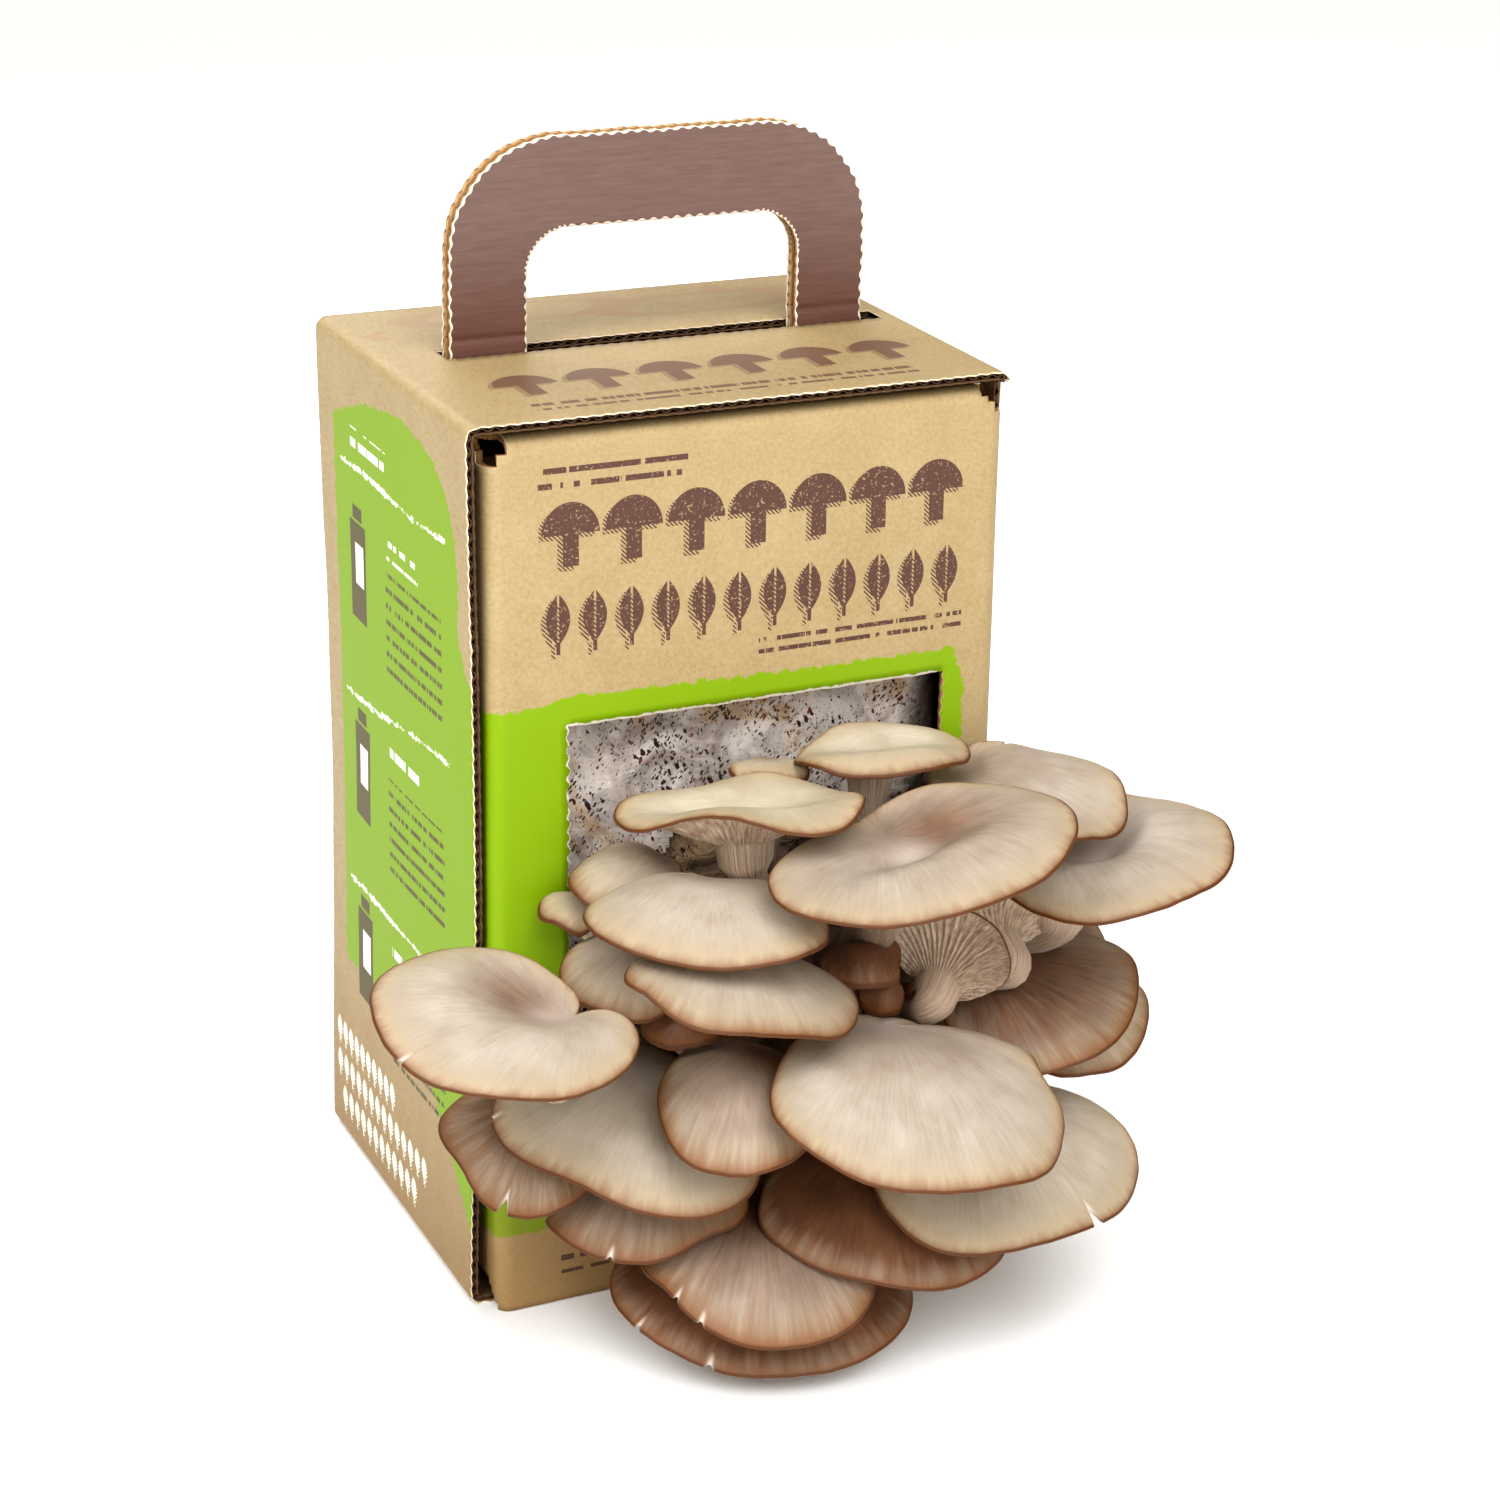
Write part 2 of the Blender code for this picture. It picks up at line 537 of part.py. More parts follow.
# Each mushroom: middle of the cap, which way it points, its half width and half length, and the place of
# its root on the cluster base (x, z); all in millimetres and degrees.
SMALL = {"turns": 10, "stem": 3, "foot": 3, "flesh": 5}
MUSHROOMS = {
    "mushroom_window_right": dict(
        at=(30, -72, 144), heading=-10, droop=0, roll=0, across=21, along=15, root=(24, 95), inset=0.6,
        dome=3, stem=3.5, foot=3, flesh=5, turns=12,
    ),
    "mushroom_window_tiny": dict(
        at=(4, -62, 139), heading=-20, droop=0, roll=0, across=10, along=7, root=(8, 97), inset=0.6,
        dome=2, dip=1, curl=1, rim=1.5, stem=2, foot=2, flesh=3, turns=10,
    ),
    "mushroom_window_wide": dict(
        at=(-14, -84, 142), heading=-26, droop=-7, roll=-3, across=31, along=19, root=(15, 95), inset=0.3,
        dome=2, dip=4, curl=1.5, wave=2, foot=4,
    ),
    "mushroom_edge_upper": dict(
        at=(-37, -70, 121), heading=-70, droop=5, roll=10, across=12, along=15, root=(-8, 91), dip=2, **SMALL
    ),
    "mushroom_shelf_upper": dict(
        at=(-29, -98, 121), heading=-30, droop=8, roll=4, across=30, along=20, root=(2, 90), inset=0.85,
        dip=2, bites=((225, 0.2, 35),),
    ),
    "mushroom_edge_small": dict(
        at=(-49, -65, 111.6), heading=-80, droop=0, roll=10, across=8, along=8, root=(-15, 86), dome=3,
        dip=1, rim=1.5, stem=2.2, foot=2.2, flesh=3.5, turns=10,
    ),
    "mushroom_edge_lower": dict(
        at=(-41.5, -81.5, 101.6), heading=-60, droop=10, roll=12, across=15, along=17, root=(-13, 82), dip=2,
        stem=3.5, foot=3, flesh=5, turns=12,
    ),
    "mushroom_shelf_lower": dict(
        at=(-23, -108, 106), heading=0, droop=12, roll=14, across=29, along=20, root=(8, 82), inset=0.85,
        dip=2, stem=4, foot=3.5,
    ),
    "mushroom_crown": dict(
        at=(16, -112, 137), heading=10, droop=-1, roll=-9, across=36, along=33, root=(19, 86), inset=0.5,
        dome=4, dip=7, stem=6, bend=0.25, bites=((150, 0.15, 30),), turns=16,
    ),
    "mushroom_crown_rear": dict(
        at=(61, -84, 134), heading=35, droop=3, roll=-5, across=23, along=27, root=(34, 90), inset=0.6,
        dome=4, dip=4, wave=2, stem=4.5,
    ),
    "mushroom_right_wide": dict(
        at=(80, -96, 121), heading=40, droop=-4, roll=-8, across=29, along=31, root=(41, 84), inset=0.55,
        dome=4, dip=6, foot=4,
    ),
    "mushroom_gills_up": dict(
        look=BROWN_CAP, at=(42, -92, 97), heading=60, droop=15, roll=50, across=12, along=13,
        root=(32, 76), inset=0.7,
        dip=1, stem=4, foot=4, flesh=6, bend=0.3, turns=12,
    ),
    "mushroom_right_small": dict(
        look=BROWN_CAP, at=(84, -76, 81), heading=45, droop=8, roll=-14, across=16, along=15,
        root=(46, 77), dome=4, dip=2,
        stem=3, foot=3, flesh=4, turns=12,
    ),
    "mushroom_right_dark": dict(
        look=BROWN_CAP, at=(64, -93, 82), heading=30, droop=9, roll=-15, across=27, along=24,
        root=(44, 69), inset=0.85,
        dome=4, foot=4, flesh=7,
    ),
    "mushroom_right_under": dict(
        look=BROWN_CAP, at=(82, -80, 66.5), heading=40, droop=12, roll=-14, across=22, along=20,
        root=(43, 62), stem=4,
        foot=3.5,
    ),
    "mushroom_front_large": dict(
        at=(14, -128, 79), heading=-5, droop=17, roll=10, across=37, along=31, root=(30, 64), inset=0.85,
        dome=6, dip=2, stem=6, foot=5, bites=((165, 0.1, 15),), turns=16,
    ),
    "mushroom_front_cleft": dict(
        at=(48, -110, 48), heading=15, droop=20, roll=3, across=40, along=28, root=(36, 57), dome=6,
        turns=16,
    ),
    "mushroom_low_dark": dict(
        look=BROWN_CAP, at=(17.5, -109, 41.5), heading=-10, droop=22, roll=8, across=30, along=24,
        root=(25, 54), dome=6,
    ),
    "mushroom_low_light": dict(
        at=(-18.5, -108, 34.5), heading=-20, droop=22, roll=6, across=29, along=24, root=(6, 55), dome=6,
        stem=4.5, flesh=7,
    ),
    "mushroom_lowest": dict(
        look=BROWN_CAP, at=(-12, -98, 18), heading=-16, droop=19, roll=5, across=36, along=27,
        root=(16, 51), inset=0.7,
        stem=4, foot=3.5, flesh=7,
    ),
    "mushroom_front_round": dict(
        at=(-26, -110, 79), heading=-30, droop=17, roll=8, across=19, along=22, root=(5, 67), dome=6,
        dip=2, stem=4.5, foot=4,
    ),
    "mushroom_left_lower": dict(
        at=(-45, -92, 68.6), heading=-40, droop=16, roll=13, across=30, along=25, root=(-13, 63), inset=0.75,
        dip=2, stem=4.5, foot=4, flesh=7,
    ),
    "mushroom_left_under": dict(
        at=(-41, -92, 49), heading=-35, droop=20, roll=6, across=24, along=20, root=(-3, 55), stem=4,
        foot=3.5, flesh=7,
    ),
    "mushroom_left_wide": dict(
        at=(-82, -106, 110), heading=-88, droop=-6, roll=18, across=24, along=32, root=(-20, 80), inset=0.9,
        dip=1, stem=4.5, foot=4, bites=((235, 0.25, 35),),
    ),
    "mushroom_left_split": dict(
        look=BROWN_CAP, at=(-69, -83, 62), heading=-50, droop=32, roll=18, across=19, along=19,
        root=(-20, 66), inset=0.6,
        dome=3, dip=2, stem=4,
    ),
    "mushroom_bud_left": dict(
        look=BROWN_CAP, at=(-32, -91, 91), heading=-30, droop=15, roll=0, across=8, along=8,
        root=(-8, 72), inset=0.5,
        dip=1, **SMALL
    ),
    "mushroom_bud_centre": dict(
        look=BROWN_CAP, at=(11, -96, 97), heading=-15, droop=12, roll=4, across=8, along=8,
        root=(20, 75), inset=0.6,
        dome=4, dip=1, **SMALL
    ),
}


make_sleeve()
make_front_panel()
make_back_panel()
make_handle_layer("handle_front", HANDLE_FRONT_Y)
make_handle_layer("handle_back", HANDLE_BACK_Y)
make_bag()
make_cluster_base()
for mushroom_name, mushroom_shape in MUSHROOMS.items():
    make_mushroom(mushroom_name, **mushroom_shape)
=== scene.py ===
"""Oyster mushroom grow kit: a printed kraft carton with a carry handle, and the cluster that grows out of it.

Lengths are written in millimetres and turned to metres when a mesh is made.
"""

import math

import bpy
import numpy as np
from mathutils import Matrix


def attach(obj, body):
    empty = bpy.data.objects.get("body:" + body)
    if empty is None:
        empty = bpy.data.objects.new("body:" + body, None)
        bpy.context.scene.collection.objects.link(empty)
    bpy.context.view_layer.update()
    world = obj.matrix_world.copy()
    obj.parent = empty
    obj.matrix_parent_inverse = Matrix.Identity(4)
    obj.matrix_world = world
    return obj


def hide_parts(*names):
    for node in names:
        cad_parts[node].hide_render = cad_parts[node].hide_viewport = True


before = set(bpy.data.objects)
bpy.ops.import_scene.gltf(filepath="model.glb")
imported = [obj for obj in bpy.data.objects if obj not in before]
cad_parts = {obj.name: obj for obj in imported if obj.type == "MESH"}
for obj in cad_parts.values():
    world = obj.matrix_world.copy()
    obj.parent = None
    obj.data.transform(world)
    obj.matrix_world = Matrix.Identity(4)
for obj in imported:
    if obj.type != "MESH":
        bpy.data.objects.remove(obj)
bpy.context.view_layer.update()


# Camera: in front of the carton, to the left of it and above, with a long lens.
# It looks a little to the right of the carton's middle, and leans by less than two degrees.
azimuth, elevation, lean = np.radians([-26.13, 22.13, 1.657])
carton_middle = np.array([0.0, 0.0, 115.0])
away_from_aim = 847.0
towards_camera = np.array(
    [math.sin(azimuth) * math.cos(elevation), -math.cos(azimuth) * math.cos(elevation), math.sin(elevation)]
)
level_right = np.array([math.cos(azimuth), math.sin(azimuth), 0.0])
level_up = np.cross(towards_camera, level_right)
right = level_right * math.cos(lean) + level_up * math.sin(lean)
up = level_up * math.cos(lean) - level_right * math.sin(lean)
aim = carton_middle + 26.2 * right + 5.43 * up
place = (aim + away_from_aim * towards_camera) / 1000
lens = bpy.data.cameras.new("camera")
lens.lens = 77.63
lens.sensor_width = 36.0
camera = bpy.data.objects.new("camera", lens)
camera.matrix_world = Matrix(np.column_stack([right, up, towards_camera, place]).tolist() + [[0, 0, 0, 1]])
bpy.context.scene.collection.objects.link(camera)
bpy.context.scene.camera = camera


# Studio: a sheet of white paper under large soft lamps, in a bright white room.
# The paper is the floor and isn't part of the object. It is matt, so it takes soft shadows and has no shine.
def linear(colour):
    """An sRGB hex colour as linear red, green, blue and alpha: each channel through the sRGB curve."""
    parts = [int(colour[i : i + 2], 16) / 255 for i in (1, 3, 5)]
    return [c / 12.92 if c <= 0.04045 else ((c + 0.055) / 1.055) ** 2.4 for c in parts] + [1.0]


def node(tree, kind, *values, **more):
    """Adds a shader node with its settings and links, and returns its outputs.

    The values go to its inputs in order: a socket is linked, a hex colour is made linear, and None leaves the
    input as it is. In more, a name with a capital letter is an input's, and any other is a setting's. So a
    MapRange takes its value, the range that comes in, and the range that goes out.
    """
    made = tree.nodes.new("ShaderNode" + kind)
    inputs = {index: value for index, value in enumerate(values) if value is not None}
    for name, value in more.items():
        if name[0].isupper():
            inputs[name] = value
        else:
            setattr(made, name, value)
    for key, value in inputs.items():
        if isinstance(value, bpy.types.NodeSocket):
            tree.links.new(value, made.inputs[key])
        else:
            made.inputs[key].default_value = linear(value) if isinstance(value, str) else value
    return made.outputs


def new_material(name, **shader_values):
    """A material with one Principled shader, whose plain inputs take the values given."""
    made = bpy.data.materials.new(name)
    made.use_nodes = True
    shader = made.node_tree.nodes["Principled BSDF"]
    for key, value in shader_values.items():
        shader.inputs[key.replace("_", " ").title().replace("Ior", "IOR")].default_value = value
    return made, made.node_tree, shader


def lamp(name, at, aim_at, size, watts):
    """A square area lamp with its side and its place in metres, turned to face another place."""
    light = bpy.data.lights.new(name, "AREA")
    light.size = size
    light.energy = watts
    made = bpy.data.objects.new(name, light)
    away = np.array(at, float) - np.array(aim_at, float)
    away /= np.linalg.norm(away)
    side = np.cross([0.0, 0.0, 1.0], away)
    side /= np.linalg.norm(side)
    turned = np.column_stack([side, np.cross(away, side), away, at])
    made.matrix_world = Matrix(turned.tolist() + [[0, 0, 0, 1]])
    bpy.context.scene.collection.objects.link(made)


bpy.context.scene.view_settings.view_transform = "Standard"
bpy.context.scene.view_settings.look = "Medium High Contrast"
world = bpy.data.worlds.new("white_room")
world.use_nodes = True
world.node_tree.nodes["Background"].inputs["Color"].default_value = linear("#FFF4E8")
world.node_tree.nodes["Background"].inputs["Strength"].default_value = 0.27
bpy.context.scene.world = world
lamp("key_softbox", (-0.75, -0.4, 0.8), (0.0, -0.07, 0.12), 0.5, 6)
lamp("rear_softbox", (0.0, 0.9, 0.9), (0.0, 0.0, 0.2), 0.9, 6)
lamp("fill_softbox", (0.1, -1.0, 0.3), (0.0, -0.07, 0.09), 0.8, 3.5)
sky_panel = bpy.data.lights.new("sky_panel", "SUN")
sky_panel.angle = math.radians(45)
sky_panel.energy = 2.25
sky = bpy.data.objects.new("sky_panel", sky_panel)
sky.rotation_euler = (math.radians(34), 0, math.radians(-5))
bpy.context.scene.collection.objects.link(sky)
paper = new_material("matt_white_paper", base_color=linear("#FDFEFF"), roughness=0.9)[0]
floor_mesh = bpy.data.meshes.new("floor")
floor_mesh.from_pydata([(-9, -5, 0), (9, -5, 0), (9, 14, 0), (-9, 14, 0)], [], [(0, 1, 2, 3)])
floor_mesh.materials.append(paper)
floor = bpy.data.objects.new("floor", floor_mesh)
bpy.context.scene.collection.objects.link(floor)


# Sleeve: the wrap of the carton, corrugated kraft board 2 mm thick with 3.4 mm flutes running front to back.
# Its two paper faces and the fluted sheet between them are made one by one, as in the real board, so that the
# raw edges at the front, the back and the handle's slot show the waves and the torn white fibre.
HALF_WIDTH, HALF_DEPTH, HEIGHT, BOARD = 71.0, 53.0, 230.0, 2.0
FOLD_RADIUS = 3.0
SLOT_LEFT, SLOT_RIGHT, SLOT_FRONT, SLOT_BACK = -54.5, 65.5, 3.6, 11.4
FLUTE_PITCH = 3.4
FLUTES_ROUND = 217
PAPER = 0.35


def new_mesh(name, points, *face_groups, materials=(), fields=None, uv=None):
    """A mesh object from points in millimetres and arrays of faces, with named values at its points.

    The points no face uses are left out. uv holds two values a point, and fields one or three.
    """
    corners = np.concatenate([group.ravel() for group in face_groups])
    used, corners = np.unique(corners, return_inverse=True)
    corners = corners.reshape(-1).astype(np.int32)
    sizes = np.concatenate([np.full(len(group), group.shape[1], np.int32) for group in face_groups])
    mesh = bpy.data.meshes.new(name)
    mesh.vertices.add(len(used))
    mesh.vertices.foreach_set("co", (points[used] / 1000).astype(np.float32).ravel())
    mesh.loops.add(len(corners))
    mesh.loops.foreach_set("vertex_index", corners)
    mesh.polygons.add(len(sizes))
    mesh.polygons.foreach_set("loop_start", (np.cumsum(sizes) - sizes).astype(np.int32))
    mesh.update(calc_edges=True)
    if uv is not None:
        layer = mesh.uv_layers.new(name="UVMap")
        layer.data.foreach_set("uv", uv[used][corners].astype(np.float32).ravel())
    for field_name, values in (fields or {}).items():
        kind, slot = ("FLOAT", "value") if values.ndim == 1 else ("FLOAT_VECTOR", "vector")
        made = mesh.attributes.new(field_name, kind, "POINT")
        made.data.foreach_set(slot, values[used].astype(np.float32).ravel())
    for material in materials:
        mesh.materials.append(material)
    mesh.shade_smooth()
    obj = bpy.data.objects.new(name, mesh)
    bpy.context.scene.collection.objects.link(obj)
    return obj


def grid_faces(rows, columns, keep=None, ring=False):
    """The four-sided faces of a grid of points, rows by columns; a ring's last column meets its first."""
    row, column = np.mgrid[0 : rows - 1, 0 : columns - (0 if ring else 1)]
    after = (column + 1) % columns
    here, above = row * columns, (row + 1) * columns
    faces = np.stack([here + column, here + after, above + after, above + column], -1)
    if keep is not None:
        return faces[keep]
    return faces.reshape(-1, 4)


def thicken(obj, thickness, edge_slot=0):
    """Gives a sheet its thickness, behind its face, and its edges the material in edge_slot."""
    wall = obj.modifiers.new("thickness", "SOLIDIFY")
    wall.thickness = thickness / 1000
    wall.offset = -1.0
    wall.use_even_offset = False
    wall.material_offset_rim = edge_slot


def zigzag(length):
    """A wave with straight sides between -1 and 1, one to each flute's pitch of length."""
    return 2 * np.abs(2 * ((length / FLUTE_PITCH) % 1.0) - 1) - 1


def waviness(a, b, seed, size=1.0):
    """Smooth made-up unevenness between about -1 and 1: half the sum of three sine waves with unlike lengths.

    The first is a product of one wave along a and one along b, and the others run aslant. seed moves them.
    """
    total = np.sin(a / (7.1 * size) + 1.3 * seed) * np.sin(b / (9.7 * size) + 2.1 * seed)
    total = total + 0.6 * np.sin((a + 1.7 * b) / (4.3 * size) + 0.7 * seed)
    total = total + 0.4 * np.sin((2.3 * a - b) / (3.1 * size) + 1.9 * seed)
    return total / 2


def sleeve_point(round_way, back, depth):
    """A point of the sleeve: round_way is 0 to 1 from the left side's foot up and round.

    back is its y, and depth how far it is into the board. The fold's centre runs along straight lines and
    waits at each corner while the direction out of the board turns by 90 degrees, so both are straight-line
    tables of the distance round.
    """
    side, top, turn = HEIGHT - 2 * FOLD_RADIUS, 2 * (HALF_WIDTH - FOLD_RADIUS), FOLD_RADIUS * math.pi / 2
    stops = np.cumsum([0, side, turn, top, turn, side, turn, top, turn])
    x, low, high = HALF_WIDTH - FOLD_RADIUS, FOLD_RADIUS, HEIGHT - FOLD_RADIUS
    distance = round_way * stops[-1]
    middle_x = np.interp(distance, stops, [-x, -x, -x, x, x, x, x, -x, -x])
    middle_z = np.interp(distance, stops, [low, high, high, high, high, low, low, low, low])
    heading = np.radians(np.interp(distance, stops, [180, 180, 90, 90, 0, 0, -90, -90, -180]))
    out = FOLD_RADIUS - depth
    here_x, here_z = middle_x + out * np.cos(heading), middle_z + out * np.sin(heading)
    # The open sides are slack at mid-height: they bow in by less than 2 mm at the front and back edges, but
    # not at the right-hand front edge, which the closure holds. Near the folds the board stays straight.
    middle_height, near_fold = HEIGHT / 2, 4.0
    share_of_height = np.clip((here_z - near_fold) / (HEIGHT - 2 * near_fold), 0, 1)
    slack = np.clip(np.sin(math.pi * share_of_height), 0, 1) ** 1.5
    away_from_folds = np.abs(here_z - middle_height) < middle_height - near_fold
    bow = 1.7 * slack * (np.abs(back) / HALF_DEPTH) ** 2 * away_from_folds
    bow = bow * ((here_x < 0) | (back > 0)) + 0.2 * waviness(back, here_z, 3.0, 3.0) * slack
    on_a_side = np.abs(here_x) > 60
    return np.stack([here_x - np.sign(here_x) * bow * on_a_side, back, here_z], -1)


def sleeve_sheet(middle_depth, wave, per_flute, ragged, spacing):
    """One sheet of the sleeve as a grid, rows front to back and columns round it, open at the slot.

    It lies at middle_depth in the board, and rises and falls by wave as a cosine, once to each flute. Its raw
    edges are torn to a zigzag, one point to a flute, with a longer shred now and then.
    """
    columns = FLUTES_ROUND * per_flute
    front_rows = [-HALF_DEPTH, 1.5 - HALF_DEPTH]
    before_slot = np.arange(5 - HALF_DEPTH, SLOT_FRONT - 1, spacing)
    behind_slot = np.arange(SLOT_BACK + 2, HALF_DEPTH - 1, spacing)
    rows = np.concatenate([front_rows, before_slot, [SLOT_FRONT, SLOT_BACK], behind_slot, [HALF_DEPTH]])
    back, way = np.meshgrid(rows, np.arange(columns) / columns, indexing="ij")
    flute = way * FLUTES_ROUND * FLUTE_PITCH
    points = sleeve_point(way, back, middle_depth + wave * np.cos(flute * 2 * math.pi / FLUTE_PITCH))
    shred_pitch, shred_place = 71.3, 30
    tip = zigzag(flute) * ragged + 0.5 * ragged * waviness(flute, flute * 0.3, 1.0, 0.6)
    tip = tip + ragged * 0.9 * np.exp(-(((flute % shred_pitch) - shred_place) ** 2) / 3)
    for line, push in ((0, -1.0), (-1, 0.3)):
        points[line, :, 1] += push * tip[line]
    at_slot = (points[:, :, 2] > HEIGHT - 4) & (points[:, :, 0] > SLOT_LEFT) & (points[:, :, 0] < SLOT_RIGHT)
    for y, push in ((SLOT_FRONT, 0.8), (SLOT_BACK, -0.8)):
        line = int(np.argmin(np.abs(rows - y)))
        points[line, :, 1] += push * np.where(at_slot[line], tip[line], 0)
    # On the right the front closure's fold takes the wall's place, so the wall starts behind it.
    on_right = points[0, :, 0] > HALF_WIDTH - 3.5
    behind_fold = on_right & (np.abs(points[0, :, 2] - HEIGHT / 2) < HEIGHT / 2 - 3)
    points[:2, behind_fold, 1] = [[-48.6], [-48.0]]
    middle = (rows[1:] + rows[:-1])[:, None] / 2
    in_slot = (middle > SLOT_FRONT) & (middle < SLOT_BACK) & at_slot[0] & np.roll(at_slot[0], -1)
    return points, grid_faces(len(rows), columns, ~in_slot, ring=True), way, back


def outline_distance(outline, a, b):
    """How far a point is inside a closed outline, negative outside: the least distance to its straight sides.

    A point is inside where a line from it towards greater a crosses the outline an odd number of times.
    """
    corners = np.array(outline, float)
    inside = np.zeros(a.shape, bool)
    nearest = np.full(a.shape, 1e9)
    for (a0, b0), (a1, b1) in zip(corners, np.roll(corners, -1, axis=0)):
        run_a, run_b = a1 - a0, b1 - b0
        along = np.clip(((a - a0) * run_a + (b - b0) * run_b) / (run_a**2 + run_b**2), 0, 1)
        nearest = np.minimum(nearest, np.hypot(a - a0 - along * run_a, b - b0 - along * run_b))
        crosses = (b0 > b) != (b1 > b)
        inside ^= crosses & (a < a0 + (b - b0) * run_a / (run_b + 1e-9))
    return np.where(inside, nearest, -nearest)


def place_in_mm(tree):
    """The place on the object in millimetres, so that a pattern's scale is how many there are to one."""
    place = node(tree, "TexCoord")["Object"]
    return node(tree, "VectorMath", place, Scale=1000.0, operation="SCALE")[0]


def painted(tree, ground, *coats):
    """A colour with others laid over it in turn; each coat is its share from 0 to 1, and its colour.

    A Mix node has its share first, and its two colours after five inputs for other kinds of value.
    """
    for share, colour in coats:
        ground = node(tree, "Mix", share, *[None] * 5, ground, colour, data_type="RGBA")[2]
    return ground


def paper_fibres(tree, place):
    """The fibres of paper as a height from 0 to 1.

    Softwood pulp fibres are about 3 mm long and finer than a hair. They are drawn 0.9 mm wide and 3 mm long,
    so that they show.
    """
    stretched = node(tree, "VectorMath", place, (1.0, 0.28, 1.0), operation="MULTIPLY")[0]
    return node(tree, "TexNoise", Vector=stretched, Scale=1.1, Detail=6.0, Roughness=0.7)[0]


def kraft_colour(tree, place, fibre, pale="#B3A07A", deep="#9C855C"):
    """The colour of kraft paper: brown fibres in a paler pulp, with soft clouds about 14 mm across."""
    cloud = node(tree, "TexNoise", Vector=place, Scale=0.07, Detail=3.0)[0]
    both = node(tree, "Mix", 0.25, None, fibre, cloud)[0]
    share = node(tree, "MapRange", both, 0.28, 0.68)[0]
    return painted(tree, deep, (share, pale))


def set_surface(tree, shader, colour, height=None, strength=0.25, rise=0.2):
    """Links a shader's colour, and a height as a bump that rises by some millimetres."""
    tree.links.new(colour, shader.inputs["Base Color"])
    if height is not None:
        bump = node(tree, "Bump", Strength=strength, Distance=rise / 1000, Height=height)[0]
        tree.links.new(bump, shader.inputs["Normal"])


def plain_kraft(name, roughness, pale, deep):
    """A material for paper without print, matt and uneven in colour."""
    made, tree, shader = new_material(name, roughness=roughness)
    place = place_in_mm(tree)
    set_surface(tree, shader, kraft_colour(tree, place, paper_fibres(tree, place), pale, deep))
    return made


def rough_edge(tree, place, field, width=1.1):
    """1 where a field in millimetres is above zero, with the broken edge a dry brush leaves.

    Noise in patches of about 2 mm moves the edge by up to one and a half times the width, in millimetres.
    """
    distance = node(tree, "Attribute", attribute_name=field)["Fac"]
    ragged = node(tree, "TexNoise", Vector=place, Scale=0.45, Detail=5.0, Roughness=0.75)[0]
    pushed = node(tree, "Math", ragged, 0.5, operation="SUBTRACT")[0]
    pushed = node(tree, "Math", pushed, 5.0 * width, distance, operation="MULTIPLY_ADD")[0]
    return node(tree, "MapRange", pushed, -0.08, 0.08)[0]


def bar(tree, across, rise, middle, half):
    """1 inside an upright rectangle, given by its middle and its half sizes."""
    wide = node(tree, "Math", across, middle[0], half[0], operation="COMPARE")[0]
    tall = node(tree, "Math", rise, middle[1], half[1], operation="COMPARE")[0]
    return node(tree, "Math", wide, tall, operation="MULTIPLY")[0]


def pictogram(tree, kind, u, v):
    """1 inside a simple sign about 1 tall, centred on u = v = 0: a mushroom or a leaf.

    The mushroom is the upper half of an ellipse on a short bar. The leaf is as wide at each height as a
    parabola says, pointed at both ends and bare along its middle rib, on a short stalk.
    """
    from_middle = node(tree, "Math", u, operation="ABSOLUTE")[0]
    if kind == "mushroom":
        spot = node(tree, "CombineXYZ", u, v)[0]
        spot = node(tree, "VectorMath", spot, (2.1, 2.0, 0.0), operation="MULTIPLY")[0]
        round_part = node(tree, "VectorMath", spot, operation="LENGTH")["Value"]
        round_part = node(tree, "Math", round_part, 1.0, operation="LESS_THAN")[0]
        above = node(tree, "Math", v, 0.0, operation="GREATER_THAN")[0]
        head = node(tree, "Math", round_part, above, operation="MULTIPLY")[0]
        half_width, foot, top = 0.13, -0.5, 0.05
    else:
        squared = node(tree, "Math", v, v, operation="MULTIPLY")[0]
        blade = node(tree, "Math", squared, 1.05, from_middle, operation="MULTIPLY_ADD")[0]
        head = node(tree, "Math", blade, 0.21, operation="LESS_THAN")[0]
        rib = node(tree, "Math", from_middle, 0.02, operation="GREATER_THAN")[0]
        head = node(tree, "Math", head, rib, operation="MULTIPLY")[0]
        half_width, foot, top = 0.035, -0.6, -0.38
    stalk = bar(tree, u, v, (0.0, (foot + top) / 2), (half_width, (top - foot) / 2))
    return node(tree, "Math", head, stalk, operation="MAXIMUM")[0]


